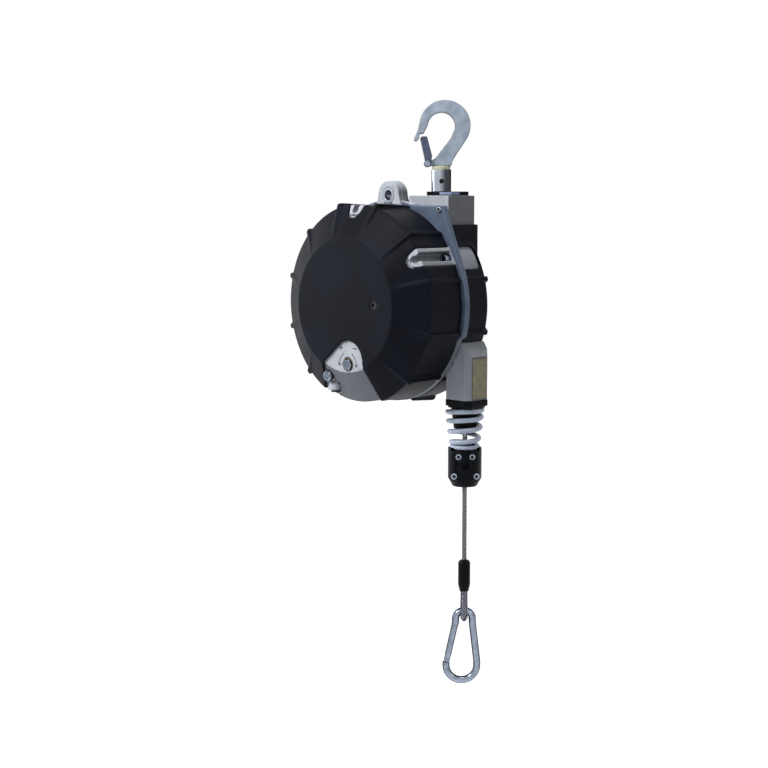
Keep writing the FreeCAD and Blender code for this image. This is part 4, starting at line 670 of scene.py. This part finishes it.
def lock():
    """Knob of the drum lock with turned rings, on its pin."""
    low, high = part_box("drum_lock_pin")
    centre = Vector(((low[0] + high[0]) / 2, low[1], (low[2] + high[2]) / 2))
    length = (high[1] - low[1]) / MM
    rings = [(0.2, 0.1, 0), (0.2, 1.6, 0), (0.9, 2.0, 0), (0.9, 3.0, 0), (0.1, 3.4, 0), (0, 4.3, 0),
             (0.5, 4.7, 0), (0.5, 5.1, 0), (0.3, 5.6, 0), (0.8, 6.1, 0), (3.6, 6.1, 0), (4.0, 5.7, 0),
             (4.0, 3.0, 0), (length, 3.0, 0)]
    form = bmesh.new()
    turned(form, centre, -FRONT, rings)
    piece("lock_knob", meshed("lock_knob", form), MATERIALS["zinc_steel"], "lock", "zinc_steel", "drum_lock_pin")


def cover_sockets():
    """Black socket screws of the covers, sunk in their counterbores."""
    form = bmesh.new()
    for group in islands("cover_screws"):
        middle = sum(group, Vector()) / len(group)
        inward = -FRONT if middle.y < DRUM.y else FRONT
        centre, _, length = ends(group, inward)
        rings = [(1.9, 0.1, 0), (1.9, 2.2, 1), (0.3, 2.2, 1), (0.1, 2.5, 0), (0.1, 4.1, 0), (0.5, 4.5, 0),
                 (2.2, 4.5, 0), (2.2, 1.9, 0), (length, 1.9, 0)]
        turned(form, centre, inward, rings)
    piece("cover_sockets", meshed("cover_sockets", form), DARK_STEEL_AND_SHADE, "housing", "zinc_steel", "cover_screws")


def adjuster_marks():
    """Plus and minus with their arrows, as thin dark lines in the casting round the adjusting screw."""
    low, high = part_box("adjuster_pinion")
    centre = Vector(((low[0] + high[0]) / 2, 0, (low[2] + high[2]) / 2))
    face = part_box("front_housing")[0][1] - 0.08 * MM
    form = bmesh.new()

    def stroke(points, half=0.45):
        tube(form, [Vector((centre.x + x * MM, face, centre.z + z * MM)) for x, z in points], half * MM, 8)

    for way in (-1, 1):
        arc = [(way * 12.5 * math.sin(math.radians(turn)), 12.5 * math.cos(math.radians(turn)))
               for turn in range(28, 101, 8)]
        stroke(arc)
        end = arc[-1]
        stroke([(end[0] - 2.0, end[1] + 3.0), end, (end[0] + 2.0, end[1] + 3.0)])
        middle = (way * 10.5, 17.0)
        stroke([(middle[0] - 3.0, middle[1]), (middle[0] + 3.0, middle[1])], 0.6)
        if way < 0:
            stroke([(middle[0], middle[1] - 3.0), (middle[0], middle[1] + 3.0)], 0.6)
    for vertex in form.verts:
        vertex.co.y = face + (vertex.co.y - face) * 0.3
    piece("adjuster_marks", meshed("adjuster_marks", form, 60), MARK, "housing", "cast_alu")


def buffer():
    """Buffer spring: its pitch opens towards the stop, and its ends lie flat."""
    low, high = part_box("buffer_spring")
    axis = Vector(((low[0] + high[0]) / 2, (low[1] + high[1]) / 2, 0))
    wire = 2.6 * MM
    # (turn, height) and (turn, radius in millimetres) down the coil
    levels = [(-0.45, high[2] - wire), (0.0, min(-304.8 * MM, high[2] - wire)), (1.0, -313.9 * MM),
              (2.0, -324.7 * MM), (3.0, -336.6 * MM), (3.85, low[2] + wire), (4.75, low[2] + wire)]
    widths = [(-0.45, 17.9), (0.0, 17.9), (1.0, 17.2), (2.0, 16.1), (3.0, 14.4), (3.85, 12.9), (4.75, 12.9)]

    def at(table, turn):
        for (first, a), (second, b) in zip(table, table[1:]):
            if turn <= second:
                share = (turn - first) / (second - first)
                share = share * share * (3 - 2 * share) * 0.35 + share * 0.65
                return a + (b - a) * share
        return table[-1][1]

    line = []
    start, stop = levels[0][0], levels[-1][0]
    count = 260
    for step in range(count + 1):
        turn = start + (stop - start) * step / count
        angle = math.radians(-45) - TURN * turn
        reach = at(widths, turn) * MM
        line.append(axis + Vector((math.cos(angle) * reach, math.sin(angle) * reach, at(levels, turn))))
    form = bmesh.new()
    tube(form, line, wire, 16)
    mesh = meshed("buffer_coil", form, 60)
    item = piece("buffer_coil", mesh, MATERIALS["spring_steel"], "housing", "spring_steel", "buffer_spring")
    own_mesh(item)


def stop():
    """Both halves of the rope stop and their socket screws."""

    rope_half, seat, lowered, screw_side = 2.5 * MM, -344.6 * MM, -346.0 * MM, 8.5 * MM

    def open_front(form):
        """The spring's seat is open towards the screws."""
        for vertex in form.verts:
            offset = vertex.co - Vector((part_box("rope_run")[0][0] + rope_half, 0, 0))
            if vertex.co.z > seat and offset.dot(FACING) > screw_side:
                vertex.co.z = min(vertex.co.z, lowered)

    rounded_node("stop_front", "stop_front_half", 0.8 * MM, 3, edit=open_front)
    rounded_node("stop_rear", "stop_rear_half", 0.8 * MM, 3)
    socket_screws("stop_sockets", "stop_screws", -FACING, 3.4, 3.2, 1.8, MATERIALS["zinc_steel"], 1.5, 0.1)


def rope():
    """Wire rope below the stop, its eye round the thimble, and the rubber sleeve."""
    low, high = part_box("wire_rope")
    middle = Vector(((low[0] + high[0]) / 2, (low[1] + high[1]) / 2, 0))
    top, bottom = middle + UP * high[2], middle + UP * low[2]
    line = route([top, top.lerp(bottom, 0.25), top.lerp(bottom, 0.5), top.lerp(bottom, 0.75), bottom])
    sleeve = rounded_node("rubber_sleeve", "rope_sleeve", 0.6 * MM, 3)
    item, path = stranded("rope_strands", line, 2.5 * MM, "wire_rope")
    [tuple(point) for point in path]
    low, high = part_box("rope_eye")
    across = Vector((-1, 1, 0)).normalized()
    bow = high[2]
    centre, start, bend = low[2] + 11.0 * MM, 2.55 * MM, 9.2 * MM
    corners = [(start, bow), (start + 1.6 * MM, bow - 6 * MM)]
    for turn in (22.5, -22.5, -67.5, -112.5, -157.5, -202.5):
        angle = math.radians(turn)
        corners.append((bend * math.cos(angle), centre + bend * math.sin(angle)))
    corners += [(-start - 1.6 * MM, bow - 6 * MM), (-start, bow)]
    points = [middle + across * y + UP * z for y, z in corners]
    stranded("eye_strands", route(points), 2.45 * MM, "rope_eye")
    rounded_node("thimble_sheet", "thimble", 0.3 * MM, 2)


def dress_nodes():
    """Material of every CAD node that stays."""
    for name, item in NODES.items():
        item.data.materials.clear()
        item.data.materials.append(MATERIALS[SLOTS[name]])


studio()
dress_nodes()
hook()
shell()
buffer()
stop()
rope()
